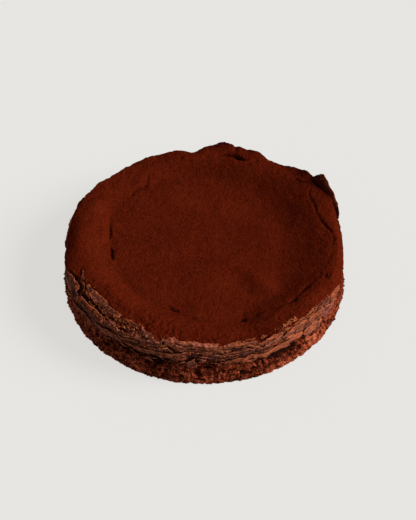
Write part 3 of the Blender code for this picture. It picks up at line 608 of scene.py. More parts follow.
def crack(x, y, line, half_width):
    """1 in the middle of an open line of points, falling to 0 beside it and at its ends."""
    line = np.array(line)
    runs = np.linalg.norm(np.diff(line, axis=0), axis=1)
    before = np.concatenate([[0.0], np.cumsum(runs)])
    depth = np.zeros(np.broadcast(x, y).shape)
    for start, end, run, gone in zip(line[:-1], line[1:], runs, before):
        way = end - start
        right, up = x - start[0], y - start[1]
        along = np.clip((right * way[0] + up * way[1]) / run**2, 0.0, 1.0)
        away = np.hypot(right - along * way[0], up - along * way[1])
        place = (gone + along * run) / before[-1]
        taper = np.sqrt(np.clip(np.sin(np.pi * place), 0.08, 1.0))
        depth = np.maximum(depth, taper * ridge(away, half_width * (0.4 + 0.6 * taper)))
    return depth


def arc(angle):
    """Distance along the cake's side from the angle 0."""
    return np.radians(angle) * CAKE_RADIUS


# The cake's form


def floor_edge(angle):
    return closed_line(angle, FLOOR_EDGE)


def crest_line(angle):
    return closed_line(angle, CREST_LINE)


def brink_radius(angle):
    """Radius of the rim's outer edge."""
    uneven = rim_noise(angle, BRINK_WOBBLE, 5) + rim_noise(angle, BRINK_CHIPS, 6)
    return BRINK_RADIUS + uneven + rim_noise(angle, BRINK_NIBBLES, 7) + swells(angle, BRINK_BULGES)


def brink_height(angle):
    jags = rim_noise(angle, BRINK_JAGS, 8) + rim_noise(angle, BRINK_NIBBLES, 9)
    return BRINK_HEIGHT + swells(angle, BRINK_SWELLS) + jags


def top_cracks(x, y):
    """Depth of the cracks and dimples in the top, and the painted shade in them from 0 to 1."""
    wobble_x, wobble_y = [
        place + sum(top_noise(x, y, wave, seed + 2 * number) for number, wave in enumerate(CRACK_WOBBLES))
        for place, seed in ((x, 61), (y, 62))
    ]
    depth = np.zeros(np.shape(x))
    dark = np.zeros(np.shape(x))
    for points, half_width, deep in TOP_CRACKS:
        share = crack(wobble_x, wobble_y, MM * np.array(points), half_width * MM)
        depth = depth + deep * MM * share
        dark = np.maximum(dark, share * min(1.0, deep / CRACK_SHADE_DEPTH))
    for across, up, radius, deep in TOP_DIMPLES:
        share = ridge(np.hypot(wobble_x - across * MM, wobble_y - up * MM), radius * MM)
        depth = depth + deep * MM * share
        dark = np.maximum(dark, DIMPLE_SHADE * share * min(1.0, deep / radius))
    for points, half_width, high in TOP_RIDGES:
        depth = depth - high * MM * crack(x, y, MM * np.array(points), half_width * MM)
    return depth, dark


def share_between(value, low, high):
    """0 up to low, 1 from high, and straight between them."""
    return np.clip((value - low) / (high - low), 0.0, 1.0)


def inner_slope(angle, radius, edge, crest_at):
    """How far up the rim's inner slope a place is, 0 at the floor and 1 at the crest."""
    slope = share_between(radius, edge, crest_at) ** (1.0 + swells(angle, SHARP_SLOPES))
    slope = ease(slope, 0.0, 1.0)
    fold = closed_line(angle, FOLD_LINE)
    folded = FOLD_SHARE * share_between(radius, edge, fold)
    beyond = share_between(radius, fold, crest_at)
    folded = folded + (1.0 - FOLD_SHARE) * (1.0 - (1.0 - beyond) ** FOLD_ROUNDING)
    return slope + (folded - slope) * np.clip(swells(angle, FOLD_STRETCHES), 0.0, 1.0)


def top_height(angle, radius):
    """Height of the cake's top: the sunken floor, the rim's inner slope and its outer shoulder."""
    x, y = plan(angle, radius)
    edge, crest_at = floor_edge(angle), crest_line(angle)
    crest = CREST_HEIGHT + swells(angle, CREST_SWELLS)
    floor = FLOOR_HEIGHT - FLOOR_TILT * x / CAKE_RADIUS
    slope = inner_slope(angle, radius, edge, crest_at)
    shoulder = share_between(radius, crest_at, brink_radius(angle)) ** SHOULDER_POWER
    height = floor + (crest - floor) * slope + (brink_height(angle) - crest) * shoulder
    uneven = top_noise(x, y, FLOOR_WAVES, 11) * (1.0 - slope) + top_noise(x, y, RIM_DIMPLES, 12) * slope
    fine = sum(top_noise(x, y, wave, 13 + number) for number, wave in enumerate(FINE_WAVES))
    rough = sum(top_noise(x, y, wave, 17 + number) for number, wave in enumerate(RIM_ROUGH))
    rough = rough * (1.0 + swells(angle, ROUGH_STRETCHES))
    relief = swells(angle, SHELF_LIPS) * ridge(radius - edge - LIP_OFFSET, RIDGE_WIDTH)
    relief = relief + swells(angle, FLOOR_TROUGHS) * ridge(radius - edge - TROUGH_OFFSET, TROUGH_WIDTH)
    return height + uneven + fine + rough * (SLOPE_ROUGH * slope + SHOULDER_ROUGH * shoulder) + relief


def open_seam(angle):
    """How open the seam is, from a closed seam's share to 1."""
    opened = sum(share * swell(angle, centre, width) for centre, width, share in OPEN_SEAMS)
    return CLOSED_SEAM_SHARE + (1.0 - CLOSED_SEAM_SHARE) * np.clip(opened, 0.0, 1.0)


def seam_lift(angle):
    """How far the second bake's lower edge stands above its flat underside."""
    ragged = 1.0 - SEAM_RAGGED + SEAM_RAGGED * side_noise(angle, 0.0, SEAM_RAGGED_LENGTH, 1.0, 15)
    return UNDERCUT_RISE * open_seam(angle) * ragged


def side_form(angle, share):
    """Radius of the second bake's side before it is torn, with share 0 at the seam and 1 at the brink."""
    height = share * (BRINK_HEIGHT - SEAM_HEIGHT)
    folds = FOLD_DEPTH * side_noise(angle, height, FOLD_LENGTH, FOLD_RISE, 21)
    creases = CREASE_DEPTH * side_noise(angle, height, CREASE_LENGTH, CREASE_RISE, 22)
    loose = 1.0 - ease(share, 1.0 - UNDERCUT_SHARE, 1.0)
    return brink_radius(angle) + UPPER_BULGE * np.sin(np.pi * share) + (folds + creases) * loose


def torn_layers(angle, climb):
    """Overlapping torn layers: how far they stand out, the painted shade in the slits above their edges,
    and the edges, painted pale partly as a highlight.
    """
    level = climb / LAYER_RISE
    for number, (amount, along, up) in enumerate(LAYER_WANDERS):
        level = level + amount * side_noise(angle, climb, along, up, 81 + number)
    layer = np.floor(level)
    part = level - layer
    x, y = plan(angle, CAKE_RADIUS)
    own, below = [
        lattice_noise(x / LAYER_STRETCH, y / LAYER_STRETCH, LAYER_STEP * number, 86)
        for number in (layer, layer - 1.0)
    ]
    own, below = [np.clip(LAYER_SHARE + LAYER_CHANGE * share, 0.0, 1.0) for share in (own, below)]
    out = LAYER_DEPTH * (own * part**LAYER_POWER - LAYER_SUNK)
    return out, below * (1.0 - ease(part, 0.0, SLIT_END)), own * ease(part, *LIT_EDGE)


def pinholes(angle, climb):
    """Pinholes in the crust from 0 to 1, in patches."""
    many = 0.35 + 1.5 * side_noise(angle, climb, PINHOLE_PATCH_LENGTH, PINHOLE_PATCH_RISE, 92)
    holes = side_noise(angle, climb, PINHOLE_SIZE, 0.8 * PINHOLE_SIZE, 91)
    return np.clip(many, 0.0, 1.0) * ease(holes, PINHOLE_SHARE, 0.75)


def hollows(angle, climb):
    """Depth of the hollows in the side, and the painted shade in them from 0 to 1."""
    along, up = [
        place + far * side_noise(angle, climb, length, rise, seed)
        for place, (far, length, rise), seed in zip((arc(angle), climb), HOLLOW_WOBBLES, (93, 94))
    ]
    depth, dark = np.zeros(np.broadcast(angle, climb).shape), 0.0
    for points, half_width, deep in HOLLOWS:
        line = [(arc(turn), level * MM) for turn, level in points]
        share = crack(along, up, line, half_width * MM)
        depth = np.maximum(depth, deep * MM * share)
        dark = np.maximum(dark, share * min(1.0, deep / HOLLOW_SHADE_DEPTH))
    return depth, dark


def flake_cover(angle, climb):
    """Where the flakes lie, from 0 to 1, and the gaps just above their upper edges, sunk and painted dark
    as shade.
    """
    cover, gap = 0.0, 0.0
    for centre, middle, half_length, half_height, _, slant, _, _ in SIDE_FLAKES:
        along = (arc(angle) - arc(centre)) / half_length
        across = (climb - middle) / half_height - slant * along
        spread = np.sqrt(along**2 + across**2)
        cover = np.maximum(cover, 1.0 - ease(spread, 0.7, 1.1))
        above = ease(across, 0.1, 0.6) * (1.0 - ease(along**2, 0.7, 1.0))
        gap = np.maximum(gap, ridge(spread - 1.15, 0.3) * above)
    return cover, gap


def crust_relief(angle, climb):
    """Torn relief of bare crust: how far it stands out, the painted shade of its slits, pinholes, gaps and
    hollows, and its pale edges, partly a painted highlight, each from 0 to 1.
    """
    out, slits, edges = torn_layers(angle, climb)
    for number, (size, along, up) in enumerate(WRINKLES):
        out = out + size * side_noise(angle, climb, along, up, 25 + number)
    holes = pinholes(angle, climb)
    cover, gap = flake_cover(angle, climb)
    calm = (1.0 - FLAKE_CALM * cover) * (1.0 - np.clip(swells(angle, CRUST_CALMS), 0.0, 0.95))
    deep, dark = hollows(angle, climb)
    out = out * calm - PINHOLE_DEPTH * holes * calm - FLAKE_GAP * gap - deep
    dark = np.clip(np.maximum.reduce([0.8 * slits * calm, 0.95 * holes * calm, 0.7 * gap, dark]), 0.0, 1.0)
    return out, dark, edges * calm * (1.0 - dark)


def crumb_relief(angle, height, seed):
    """How far the crumbs of the side stand out, and the same from 0 in the pits to 1 on the crumbs."""
    x, y = plan(angle, CAKE_RADIUS)
    out, total = 0.0, 0.0
    for number, (size, width) in enumerate(CRUMB_RELIEF):
        out = out + size * crumb_domes(x / width, y / width, height / width, seed + 10 * number)
        total += size
    return out - 0.6 * total, out / total


def lower_side(angle, share):
    """Radius of the first bake's side, share 0 at the table and 1 at the seam, and how raised it is,
    lowered in pits and hollows, where the crumb paints shade.
    """
    height = share * SEAM_HEIGHT
    climb = height - SEAM_HEIGHT
    rough = 1.0 - np.clip(swells(angle, SMOOTH_STRETCHES), 0.0, 1.0)
    lumps = LUMP_HEIGHT * side_noise(angle, height, LUMP_SIZE, FLATTENED * LUMP_SIZE, 31)
    crumbs, raised = crumb_relief(angle, height, 41)
    crumbs = crumbs + sum(size * side_noise(angle, height, width, width, 37) for size, width in CRUMB_ROUGH)
    pits = side_noise(angle, height, PIT_SIZE, FLATTENED * PIT_SIZE, 33)
    pits = rough * np.clip(pits - PIT_SHARE, 0.0, 1.0)
    flare = FOOT_FLARE * (1.0 - share) ** FLARE_POWER
    foot = FOOT_ROUNDING * (1.0 - ease(share, 0.0, FOOT_SHARE))
    rim = LOWER_RIM_INSET * ease(share, 1.0 - LOWER_RIM_SHARE, 1.0)
    ledge = swells(angle, LEDGES) * ridge(climb - LEDGE_CLIMB, LEDGE_WIDTH)
    deep, dark = hollows(angle, climb)
    radius = CAKE_RADIUS - LOWER_WAIST + flare - foot - rim + lumps + ledge
    radius = radius + crumbs * (0.25 + 0.75 * rough) - PIT_DEPTH * pits - deep
    raised = raised * rough + 0.62 * (1.0 - rough)
    return radius, np.clip(raised - 2.2 * pits - dark, 0.0, 1.0)


def skin_point(angle, climb, lift):
    """A point on the untorn skin at a climb, plus a lift off the skin."""
    share = np.clip(climb / SIDE_CLIMB, 0.0, 1.0)
    over = np.maximum(climb - SIDE_CLIMB, 0.0)
    height = SEAM_HEIGHT + np.minimum(climb, 0.0) + share * (brink_height(angle) - SEAM_HEIGHT)
    radius = np.where(over > 0.0, brink_radius(angle) - over, side_form(angle, share))
    height = np.where(over > 0.0, top_height(angle, radius), height)
    tilt = ease(climb, SIDE_CLIMB - ROLL_OVER, SIDE_CLIMB + ROLL_OVER) * np.pi / 2
    x, y = plan(angle, radius + lift * np.cos(tilt))
    return np.stack([x, y, height + lift * np.sin(tilt)], axis=-1)


def cocoa_line(angle):
    """Radius of the cocoa's outer line, beyond the brink where it runs down the side."""
    return closed_line(angle, COCOA_EDGE, COCOA_SMOOTHING) + rim_noise(angle, COCOA_WOBBLE, 95)


# Mesh makers


def angles(count):
    return np.arange(count) * 360.0 / count


def ring(angle, radius, height):
    x, y = plan(angle, radius)
    return np.stack(np.broadcast_arrays(x, y, height), axis=-1)


def stitch(outer, inner):
    """Faces between two rings of vertex numbers. The inner ring has as many, half as many, or one."""
    follow = np.roll(outer, -1)
    if len(inner) == 1:
        return np.stack([outer, follow, np.full_like(outer, inner[0])], axis=1).tolist()
    if len(inner) == len(outer):
        return np.stack([outer, follow, np.roll(inner, -1), inner], axis=1).tolist()
    near, far = inner, np.roll(inner, -1)
    whole = np.stack([outer[::2], follow[::2], near], axis=1).tolist()
    whole += np.stack([outer[1::2], far, near], axis=1).tolist()
    return whole + np.stack([outer[1::2], follow[1::2], far], axis=1).tolist()


def mesh_object(name, points, faces, materials, masks, face_materials=None):
    """A smooth mesh object with one number per vertex for each named mask."""
    mesh = bpy.data.meshes.new(name)
    mesh.from_pydata(points, [], faces)
    for material in materials:
        mesh.materials.append(material)
    for mask, values in masks.items():
        layer = mesh.attributes.new(mask, "FLOAT", "POINT")
        layer.data.foreach_set("value", np.asarray(values, dtype=np.float32))
    if face_materials is not None:
        mesh.polygons.foreach_set("material_index", face_materials)
    mesh.shade_smooth()
    made = bpy.data.objects.new(name, mesh)
    bpy.context.scene.collection.objects.link(made)
    return made


def solid_of_rings(rings):
    """Points and faces of one closed solid, its rings listed from the underside's middle to the top's."""
    starts = np.concatenate([[0], np.cumsum([len(points) for points in rings])])
    numbers = [np.arange(low, high) for low, high in zip(starts[:-1], starts[1:])]
    faces = []
    for low, high in zip(numbers[:-1], numbers[1:]):
        if len(high) <= len(low):
            faces += stitch(low, high)
        else:
            faces += [face[::-1] for face in stitch(high, low)]
    return np.concatenate(rings), faces


def hidden_rings(height, around):
    """Rings of a hidden flat face from its outside in, with fewer points towards the middle."""
    rings = [ring(angles(around // fewer), radius * MM, height) for radius, fewer in HIDDEN_RINGS]
    return rings + [np.array([[0.0, 0.0, height]])]


def plate(outer, inner):
    """Points and faces of a thin closed plate between two grids of points that share their layout."""
    rows, columns = outer.shape[:2]
    count = rows * columns
    front = np.arange(count).reshape(rows, columns)
    a, b, c, d = front[:-1, :-1], front[1:, :-1], front[1:, 1:], front[:-1, 1:]
    faces = np.stack([a, b, c, d], axis=-1).reshape(-1, 4).tolist()
    faces += (np.stack([d, c, b, a], axis=-1) + count).reshape(-1, 4).tolist()
    edge = np.concatenate([front[:, 0], front[-1, 1:], front[-2::-1, -1], front[0, -2:0:-1]])
    follow = np.roll(edge, -1)
    faces += np.stack([edge, edge + count, follow + count, follow], axis=-1).tolist()
    return np.concatenate([outer.reshape(-1, 3), inner.reshape(-1, 3)]), faces


def joined(parts):
    """One set of points, faces and masks out of many (points, faces, masks)."""
    points, faces, masks = [], [], {}
    count = 0
    for part_points, part_faces, part_masks in parts:
        points.append(part_points)
        faces += [[count + corner for corner in face] for face in part_faces]
        for mask, values in part_masks.items():
            masks.setdefault(mask, []).append(np.broadcast_to(values, (len(part_points),)))
        count += len(part_points)
    return np.concatenate(points), faces, {mask: np.concatenate(values) for mask, values in masks.items()}


# Shader node helpers


def feed(socket, value):
    if isinstance(value, bpy.types.NodeSocket):
        socket.id_data.links.new(value, socket)
    else:
        socket.default_value = value


def calculate(tree, operation, first, second=0.0):
    node = tree.nodes.new("ShaderNodeMath")
    node.operation = operation
    feed(node.inputs[0], first)
    feed(node.inputs[1], second)
    return node.outputs[0]


def times(tree, value, share):
    return calculate(tree, "MULTIPLY", value, share)


def add_share(tree, value, share, other):
    """A value plus a share of another one."""
    return calculate(tree, "ADD", value, times(tree, other, share))


def vary(tree, value, amount, around_half):
    """A value that goes up and down by an amount, with a pattern whose middle is 0.5."""
    return add_share(tree, value, amount, calculate(tree, "SUBTRACT", around_half, 0.5))


def step_between(tree, value, low, high, start=0.0, end=1.0):
    """A value that goes smoothly from start to end as another goes from low to high."""
    node = tree.nodes.new("ShaderNodeMapRange")
    node.interpolation_type = "SMOOTHSTEP"
    feed(node.inputs["Value"], value)
    for name, number in (("From Min", low), ("From Max", high), ("To Min", start), ("To Max", end)):
        feed(node.inputs[name], number)
    return node.outputs["Result"]


def mix_colours(tree, share, first, second):
    node = tree.nodes.new("ShaderNodeMix")
    node.data_type = "RGBA"
    feed(node.inputs[0], share)
    feed(node.inputs[6], first)
    feed(node.inputs[7], second)
    return node.outputs[2]


def stretched(tree, place, scale):
    node = tree.nodes.new("ShaderNodeVectorMath")
    node.operation = "MULTIPLY"
    feed(node.inputs[0], place)
    feed(node.inputs[1], scale)
    return node.outputs[0]


def noise(tree, place, size, detail=2.0, roughness=0.5):
    """Smooth noise about 0.5, with features of a size in metres."""
    node = tree.nodes.new("ShaderNodeTexNoise")
    feed(node.inputs["Vector"], place)
    feed(node.inputs["Scale"], 1.0 / size)
    feed(node.inputs["Detail"], detail)
    feed(node.inputs["Roughness"], roughness)
    return node.outputs[0]


def cells(tree, place, size):
    """Distance from scattered points about a size apart, as a share of the size."""
    node = tree.nodes.new("ShaderNodeTexVoronoi")
    feed(node.inputs["Vector"], place)
    feed(node.inputs["Scale"], 1.0 / size)
    return node.outputs["Distance"]


def effect(name, takes, gives):
    """An empty node group with named inputs (name, kind, value) and outputs (name, kind)."""
    group = bpy.data.node_groups.new(name, "ShaderNodeTree")
    for label, kind, value in takes:
        socket = group.interface.new_socket(name=label, in_out="INPUT", socket_type=kind)
        if value is not None:
            socket.default_value = value
    for label, kind in gives:
        group.interface.new_socket(name=label, in_out="OUTPUT", socket_type=kind)
    return group, group.nodes.new("NodeGroupInput").outputs, group.nodes.new("NodeGroupOutput").inputs


def place_effect(tree, group, **values):
    node = tree.nodes.new("ShaderNodeGroup")
    node.node_tree = group
    for label, value in values.items():
        feed(node.inputs[label], value)
    return node.outputs


# Effects that several materials share


def cocoa_effect():
    """Matt cocoa powder: fine grain, soft clumps and faint streaks, with painted shade in tiny pits and in
    cracks.
    """
    group, given, out = effect(
        "cocoa_powder",
        (("Place", "NodeSocketVector", None), ("Dark", "NodeSocketFloat", 0.0)),
        (("Color", "NodeSocketColor"), ("Height", "NodeSocketFloat")),
    )
    place = given["Place"]
    grain = noise(group, stretched(group, place, (1.0, 0.6, 0.8)), 1.2 * MM, 2.0, 0.6)
    clumps = noise(group, place, 5.0 * MM, 2.0, 0.5)
    broad = noise(group, place, 34.0 * MM, 2.0)
    streaks = noise(group, stretched(group, place, (1.0, 0.25, 1.0)), 4.0 * MM, 1.0)
    lightness = add_share(group, grain, 0.2, clumps)
    lightness = add_share(group, lightness, 0.3, broad)
    lightness = add_share(group, lightness, 0.2, streaks)
    share = step_between(group, lightness, 0.54, 1.16)
    colour = mix_colours(group, share, COCOA_DEEP, COCOA_LIT)
    rare = step_between(group, noise(group, place, 9.0 * MM, 1.0), 0.50, 0.64)
    pits = times(group, step_between(group, cells(group, place, 3.1 * MM), 0.24, 0.10), rare)
    # Painted shade in the tiny pits, and in cracks by the Dark input
    colour = mix_colours(group, times(group, pits, 0.65), colour, COCOA_PIT_SHADE)
    colour = mix_colours(group, times(group, given["Dark"], 0.85), colour, COCOA_CRACK_SHADE)
    height = add_share(group, grain, 0.8, clumps)
    feed(out["Color"], colour)
    feed(out["Height"], add_share(group, height, -0.8, pits))
    return group


def crust_effect():
    """Papery crust: grey-mauve, partly a painted sheen, to orange-brown in streaks along the side, with
    painted shade in pinholes and hollows and pale edges, partly a painted highlight.
    """
    group, given, out = effect(
        "papery_crust",
        (
            ("Place", "NodeSocketVector", None),
            ("Warmth", "NodeSocketFloat", 0.4),
            ("Tone", "NodeSocketFloat", 0.4),
            ("Edge", "NodeSocketFloat", 0.0),
            ("Dark", "NodeSocketFloat", 0.0),
        ),
        (("Color", "NodeSocketColor"), ("Roughness", "NodeSocketFloat"), ("Height", "NodeSocketFloat")),
    )
    flattened = stretched(group, given["Place"], (1.0, 1.0, 2.2))
    streaks = noise(group, flattened, 6.0 * MM, 3.0, 0.6)
    mottle = noise(group, flattened, 2.4 * MM, 3.0, 0.65)
    fine = noise(group, given["Place"], 1.1 * MM, 2.0, 0.6)
    warmth = vary(group, given["Warmth"], 2.2, streaks)
    tone = vary(group, given["Tone"], 2.6, mottle)
    tone = vary(group, tone, 1.2, fine)
    light = step_between(group, tone, 0.0, 1.0)
    warm = mix_colours(group, light, WARM_DEEP, WARM_LIT)
    cool = mix_colours(group, light, COOL_DEEP, COOL_LIT)
    colour = mix_colours(group, step_between(group, warmth, 0.0, 1.0), cool, warm)
    rare = step_between(group, noise(group, flattened, 7.0 * MM, 1.0), 0.44, 0.58)
    holes = times(group, step_between(group, cells(group, flattened, 2.5 * MM), 0.28, 0.14), rare)
    # Painted shade in pinholes and, by the Dark input, in hollows; pale edges, partly a painted highlight
    colour = mix_colours(group, times(group, holes, 0.85), colour, CRUST_PINHOLE_SHADE)
    colour = mix_colours(group, times(group, given["Edge"], 0.75), colour, CRUST_PALE_EDGE_AND_HIGHLIGHT)
    colour = mix_colours(group, times(group, given["Dark"], 0.92), colour, CRUST_HOLLOW_SHADE)
    height = add_share(group, add_share(group, streaks, 1.0, mottle), 0.5, fine)
    feed(out["Color"], colour)
    feed(out["Roughness"], step_between(group, mottle, 0.3, 0.7, 0.85, 0.55))
    feed(out["Height"], add_share(group, height, -0.7, holes))
    return group


def crumb_effect():
    """Coarse chocolate crumb: reddish-brown grains with painted shade in the pits and a few pale bits."""
    group, given, out = effect(
        "chocolate_crumb",
        (
            ("Place", "NodeSocketVector", None),
            ("Raised", "NodeSocketFloat", 0.6),
            ("Tone", "NodeSocketFloat", 0.5),
        ),
        (("Color", "NodeSocketColor"), ("Roughness", "NodeSocketFloat"), ("Height", "NodeSocketFloat")),
    )
    place = given["Place"]
    grain = noise(group, place, 1.2 * MM, 2.0, 0.6)
    clumps = noise(group, place, 3.6 * MM, 2.0, 0.6)
    tone = vary(group, given["Tone"], 2.8, clumps)
    tone = vary(group, tone, 2.8, grain)
    share = step_between(group, tone, 0.0, 1.2)
    colour = mix_colours(group, share, CRUMB_DEEP, CRUMB_LIT)
    pale = step_between(group, tone, 0.95, 1.5, 0.0, 0.8)
    colour = mix_colours(group, pale, colour, CRUMB_PALE)
    # Painted shade where the Raised mask is low: between crumbs, in pits and in hollows
    deep = step_between(group, given["Raised"], 0.42, 0.04, 0.0, 0.93)
    colour = mix_colours(group, deep, colour, CRUMB_PIT_SHADE)
    feed(out["Color"], colour)
    feed(out["Roughness"], step_between(group, grain, 0.3, 0.7, 0.95, 0.75))
    feed(out["Height"], calculate(group, "ADD", grain, clumps))
    return group


# Materials


def start_material(name, specular):
    """A material's tree, its shader and the place of a point on the cake."""
    material = bpy.data.materials.new(name)
    material.use_nodes = True
    tree = material.node_tree
    shader = tree.nodes["Principled BSDF"]
    shader.inputs["Specular IOR Level"].default_value = specular
    shader.inputs["Metallic"].default_value = 0.0
    place = tree.nodes.new("ShaderNodeTexCoord").outputs["Object"]
    return material, tree, shader, place


def mask_of(tree, name):
    node = tree.nodes.new("ShaderNodeAttribute")
    node.attribute_type = "GEOMETRY"
    node.attribute_name = name
    return node.outputs["Fac"]


def bumped(tree, shader, height, strength, distance):
    node = tree.nodes.new("ShaderNodeBump")
    feed(node.inputs["Height"], height)
    feed(node.inputs["Strength"], strength)
    feed(node.inputs["Distance"], distance)
    feed(shader.inputs["Normal"], node.outputs["Normal"])


def skin_material(name, specular, effects):
    """Crust under a dusting of cocoa that ends in a ragged line, painted by the masks of the mesh."""
    material, tree, shader, place = start_material(name, specular)
    # The "dark" mask paints shade into cracks, hollows, slits and gaps; the "edge" mask paints pale edges,
    # partly a highlight
    crust = place_effect(
        tree, effects["crust"], Place=place, Warmth=mask_of(tree, "warmth"), Tone=mask_of(tree, "tone"),
        Edge=mask_of(tree, "edge"), Dark=mask_of(tree, "dark"),
    )
    cocoa = place_effect(tree, effects["cocoa"], Place=place, Dark=mask_of(tree, "dark"))
    reach = mask_of(tree, "cocoa")
    ragged = vary(tree, reach, 4.5, noise(tree, place, 1.6 * MM, 3.0, 0.7))
    full = step_between(tree, ragged, -0.25, 0.35)
    specks = step_between(tree, noise(tree, place, 0.9 * MM, 2.0), 0.50, 0.62)
    thin = times(tree, step_between(tree, ragged, -6.0, 0.0), specks)
    dust = calculate(tree, "MAXIMUM", full, times(tree, thin, 0.7))
    feed(shader.inputs["Base Color"], mix_colours(tree, dust, crust["Color"], cocoa["Color"]))
    feed(shader.inputs["Roughness"], step_between(tree, dust, 0.0, 1.0, crust["Roughness"], 1.0))
    height = tree.nodes.new("ShaderNodeMix")
    feed(height.inputs[0], dust)
    feed(height.inputs[2], crust["Height"])
    feed(height.inputs[3], cocoa["Height"])
    bumped(tree, shader, height.outputs[0], 0.9, 0.7 * MM)
    return material


def crumb_material(effects):
    """Bare crumb, with some cocoa fallen on it where the mesh says so."""
    material, tree, shader, place = start_material("baked_crumb", 0.02)
    crumb = place_effect(
        tree, effects["crumb"], Place=place, Raised=mask_of(tree, "raised"), Tone=mask_of(tree, "tone")
    )
    cocoa = place_effect(tree, effects["cocoa"], Place=place)
    dusting = vary(tree, mask_of(tree, "dusting"), 1.6, noise(tree, place, 2.2 * MM))
    dust = step_between(tree, dusting, 0.3, 0.8, 0.0, 0.6)
    feed(shader.inputs["Base Color"], mix_colours(tree, dust, crumb["Color"], cocoa["Color"]))
    feed(shader.inputs["Roughness"], crumb["Roughness"])
    bumped(tree, shader, crumb["Height"], 0.9, 0.5 * MM)
    return material


# Pieces of the cake


def side_reach(angle, share):
    """How far inside the cocoa a place on the second bake's side lies, in mm."""
    fall = (1.0 - share) * (brink_height(angle) - SEAM_HEIGHT)
    return (cocoa_line(angle) - brink_radius(angle) - fall) / MM


def bands(angle, climb, table):
    """Change of tone by bands of the side, each fading round the cake and up and down."""
    return sum(
        change * swell(angle, centre, half_width) * ridge(climb - middle, half_height)
        for centre, half_width, middle, half_height, change in table
    )


def patches(angle, climb, table, seed):
    amount, along, up = table
    return amount * side_noise(angle, climb, along, up, seed)


def crust_tones(angle, climb):
    """Paleness and warmth of the crust, each from 0 to 1; the paleness also carries painted light and
    shade.
    """
    tone = CRUST_TONE + swells(angle, CRUST_TONES_AND_SIDE_LIGHT) + bands(angle, climb, CRUST_BANDS)
    tone = tone + patches(angle, climb, TONE_PATCHES, 96)
    warmth = CRUST_WARMTH + swells(angle, CRUST_WARMTHS) + patches(angle, climb, WARMTH_PATCHES, 97)
    return np.clip(tone, 0.0, 1.0), np.clip(warmth, 0.0, 1.0)


def crumb_tone(angle, climb):
    """Paleness of the crumb, about 0 to 1, also carrying painted light and shade on the sides towards and
    away from the sun, and painted shade in bands under the seam.
    """
    tone = CRUMB_TONE + swells(angle, CRUMB_TONES_AND_SIDE_LIGHT) + bands(angle, climb, CRUMB_BANDS_AND_SEAM_SHADE)
    return tone + patches(angle, climb, CRUMB_PATCHES, 36)


def make_first_bake(material):
    """The lower bake, flat underneath, its side made of crumbs and pits."""
    around = angles(LOWER_AROUND)[None, :]
    share = np.linspace(0.0, 1.0, LOWER_ROWS)[:, None]
    radius, raised = lower_side(around, share)
    height = share * SEAM_HEIGHT + np.zeros_like(radius)
    height[-1] -= LOWER_RIM_DROP * (0.5 + 0.5 * side_noise(around, 0.0, LUMP_SIZE, 1.0, 35))[0]
    side = list(ring(around, radius, height))
    under, above = hidden_rings(0.0, LOWER_AROUND)[::-1], hidden_rings(SEAM_HEIGHT, LOWER_AROUND)
    points, faces = solid_of_rings(under + side + above)
    hidden = [np.full(sum(len(points) for points in rings), 0.5) for rings in (under, above)]
    tone = crumb_tone(around, height - SEAM_HEIGHT)
    dusting = np.clip(swells(around, DUSTED_STRETCHES), 0.0, 1.0) + np.zeros_like(radius)
    masks = {
        "raised": np.concatenate([hidden[0], raised.ravel(), hidden[1]]),
        "tone": np.concatenate([hidden[0], np.clip(tone, 0.0, 1.0).ravel(), hidden[1]]),
        "dusting": np.concatenate([0.0 * hidden[0], dusting.ravel(), 0.0 * hidden[1]]),
    }
    return mesh_object("first_bake_crumb", points, faces, [material], masks)


def second_bake_side(around):
    """Rows of the second bake's side from its lower edge to its brink, with their masks."""
    share = np.linspace(0.0, 1.0, UPPER_ROWS, endpoint=False)[:, None]
    low = SEAM_HEIGHT + SEAM_GAP + seam_lift(around)
    rise = brink_height(around) - low
    climb = (low + share * rise - SEAM_HEIGHT) / (brink_height(around) - SEAM_HEIGHT) * SIDE_CLIMB
    reach = side_reach(around, share)
    bare = 1.0 - (1.0 - COCOA_CALM) * ease(reach, -1.0, 0.5)
    out, dark, edge = crust_relief(around, climb)
    undercut = UNDERCUT_DEPTH * (1.0 - ease(share, 0.0, UNDERCUT_SHARE)) * open_seam(around)
    under_cocoa = ease(share, 0.9, 1.0) * (reach > 0.0)
    radius = side_form(around, share) - undercut + out * bare * (1.0 - under_cocoa)
    tone, warmth = crust_tones(around, climb)
    masks = {
        "cocoa": reach,
        # Painted shade: full along the lower edge over the undercut, and in the relief's slits, pinholes
        # and hollows
        "dark": np.maximum(np.clip(1.0 - share / 0.14, 0.0, 1.0), dark * bare),
        "edge": edge * bare,
        "tone": tone,
        "warmth": warmth,
    }
    return ring(around, radius, low + share * rise), masks


def second_bake_top(around, shares):
    """Rings across the second bake's top from the brink inwards, with their masks."""
    brink = brink_radius(around)
    radius = brink * shares[:, None]
    x, y = plan(around, radius)
    climb = SIDE_CLIMB + brink - radius
    reach = (cocoa_line(around) - radius) / MM
    bare = 1.0 - ease(reach, -0.6, 0.3)
    depth, dark = top_cracks(x, y)
    # hollow is the painted shade of the bare crust's slits, pinholes, gaps and hollows
    out, hollow, edge = crust_relief(around, climb)
    height = top_height(around, radius) - depth + bare * (out - CRUST_STEP)
    tone, warmth = crust_tones(around, climb)
    # A pale line along the brink: the thin crust edge, partly a painted highlight
    rim = 0.6 * ridge(radius - brink, 0.9 * MM)
    masks = {
        "cocoa": reach,
        "dark": np.maximum(dark, hollow * bare),
        "edge": np.maximum(rim, edge) * bare,
        "tone": tone,
        "warmth": warmth,
    }
    return ring(around, radius, height), masks


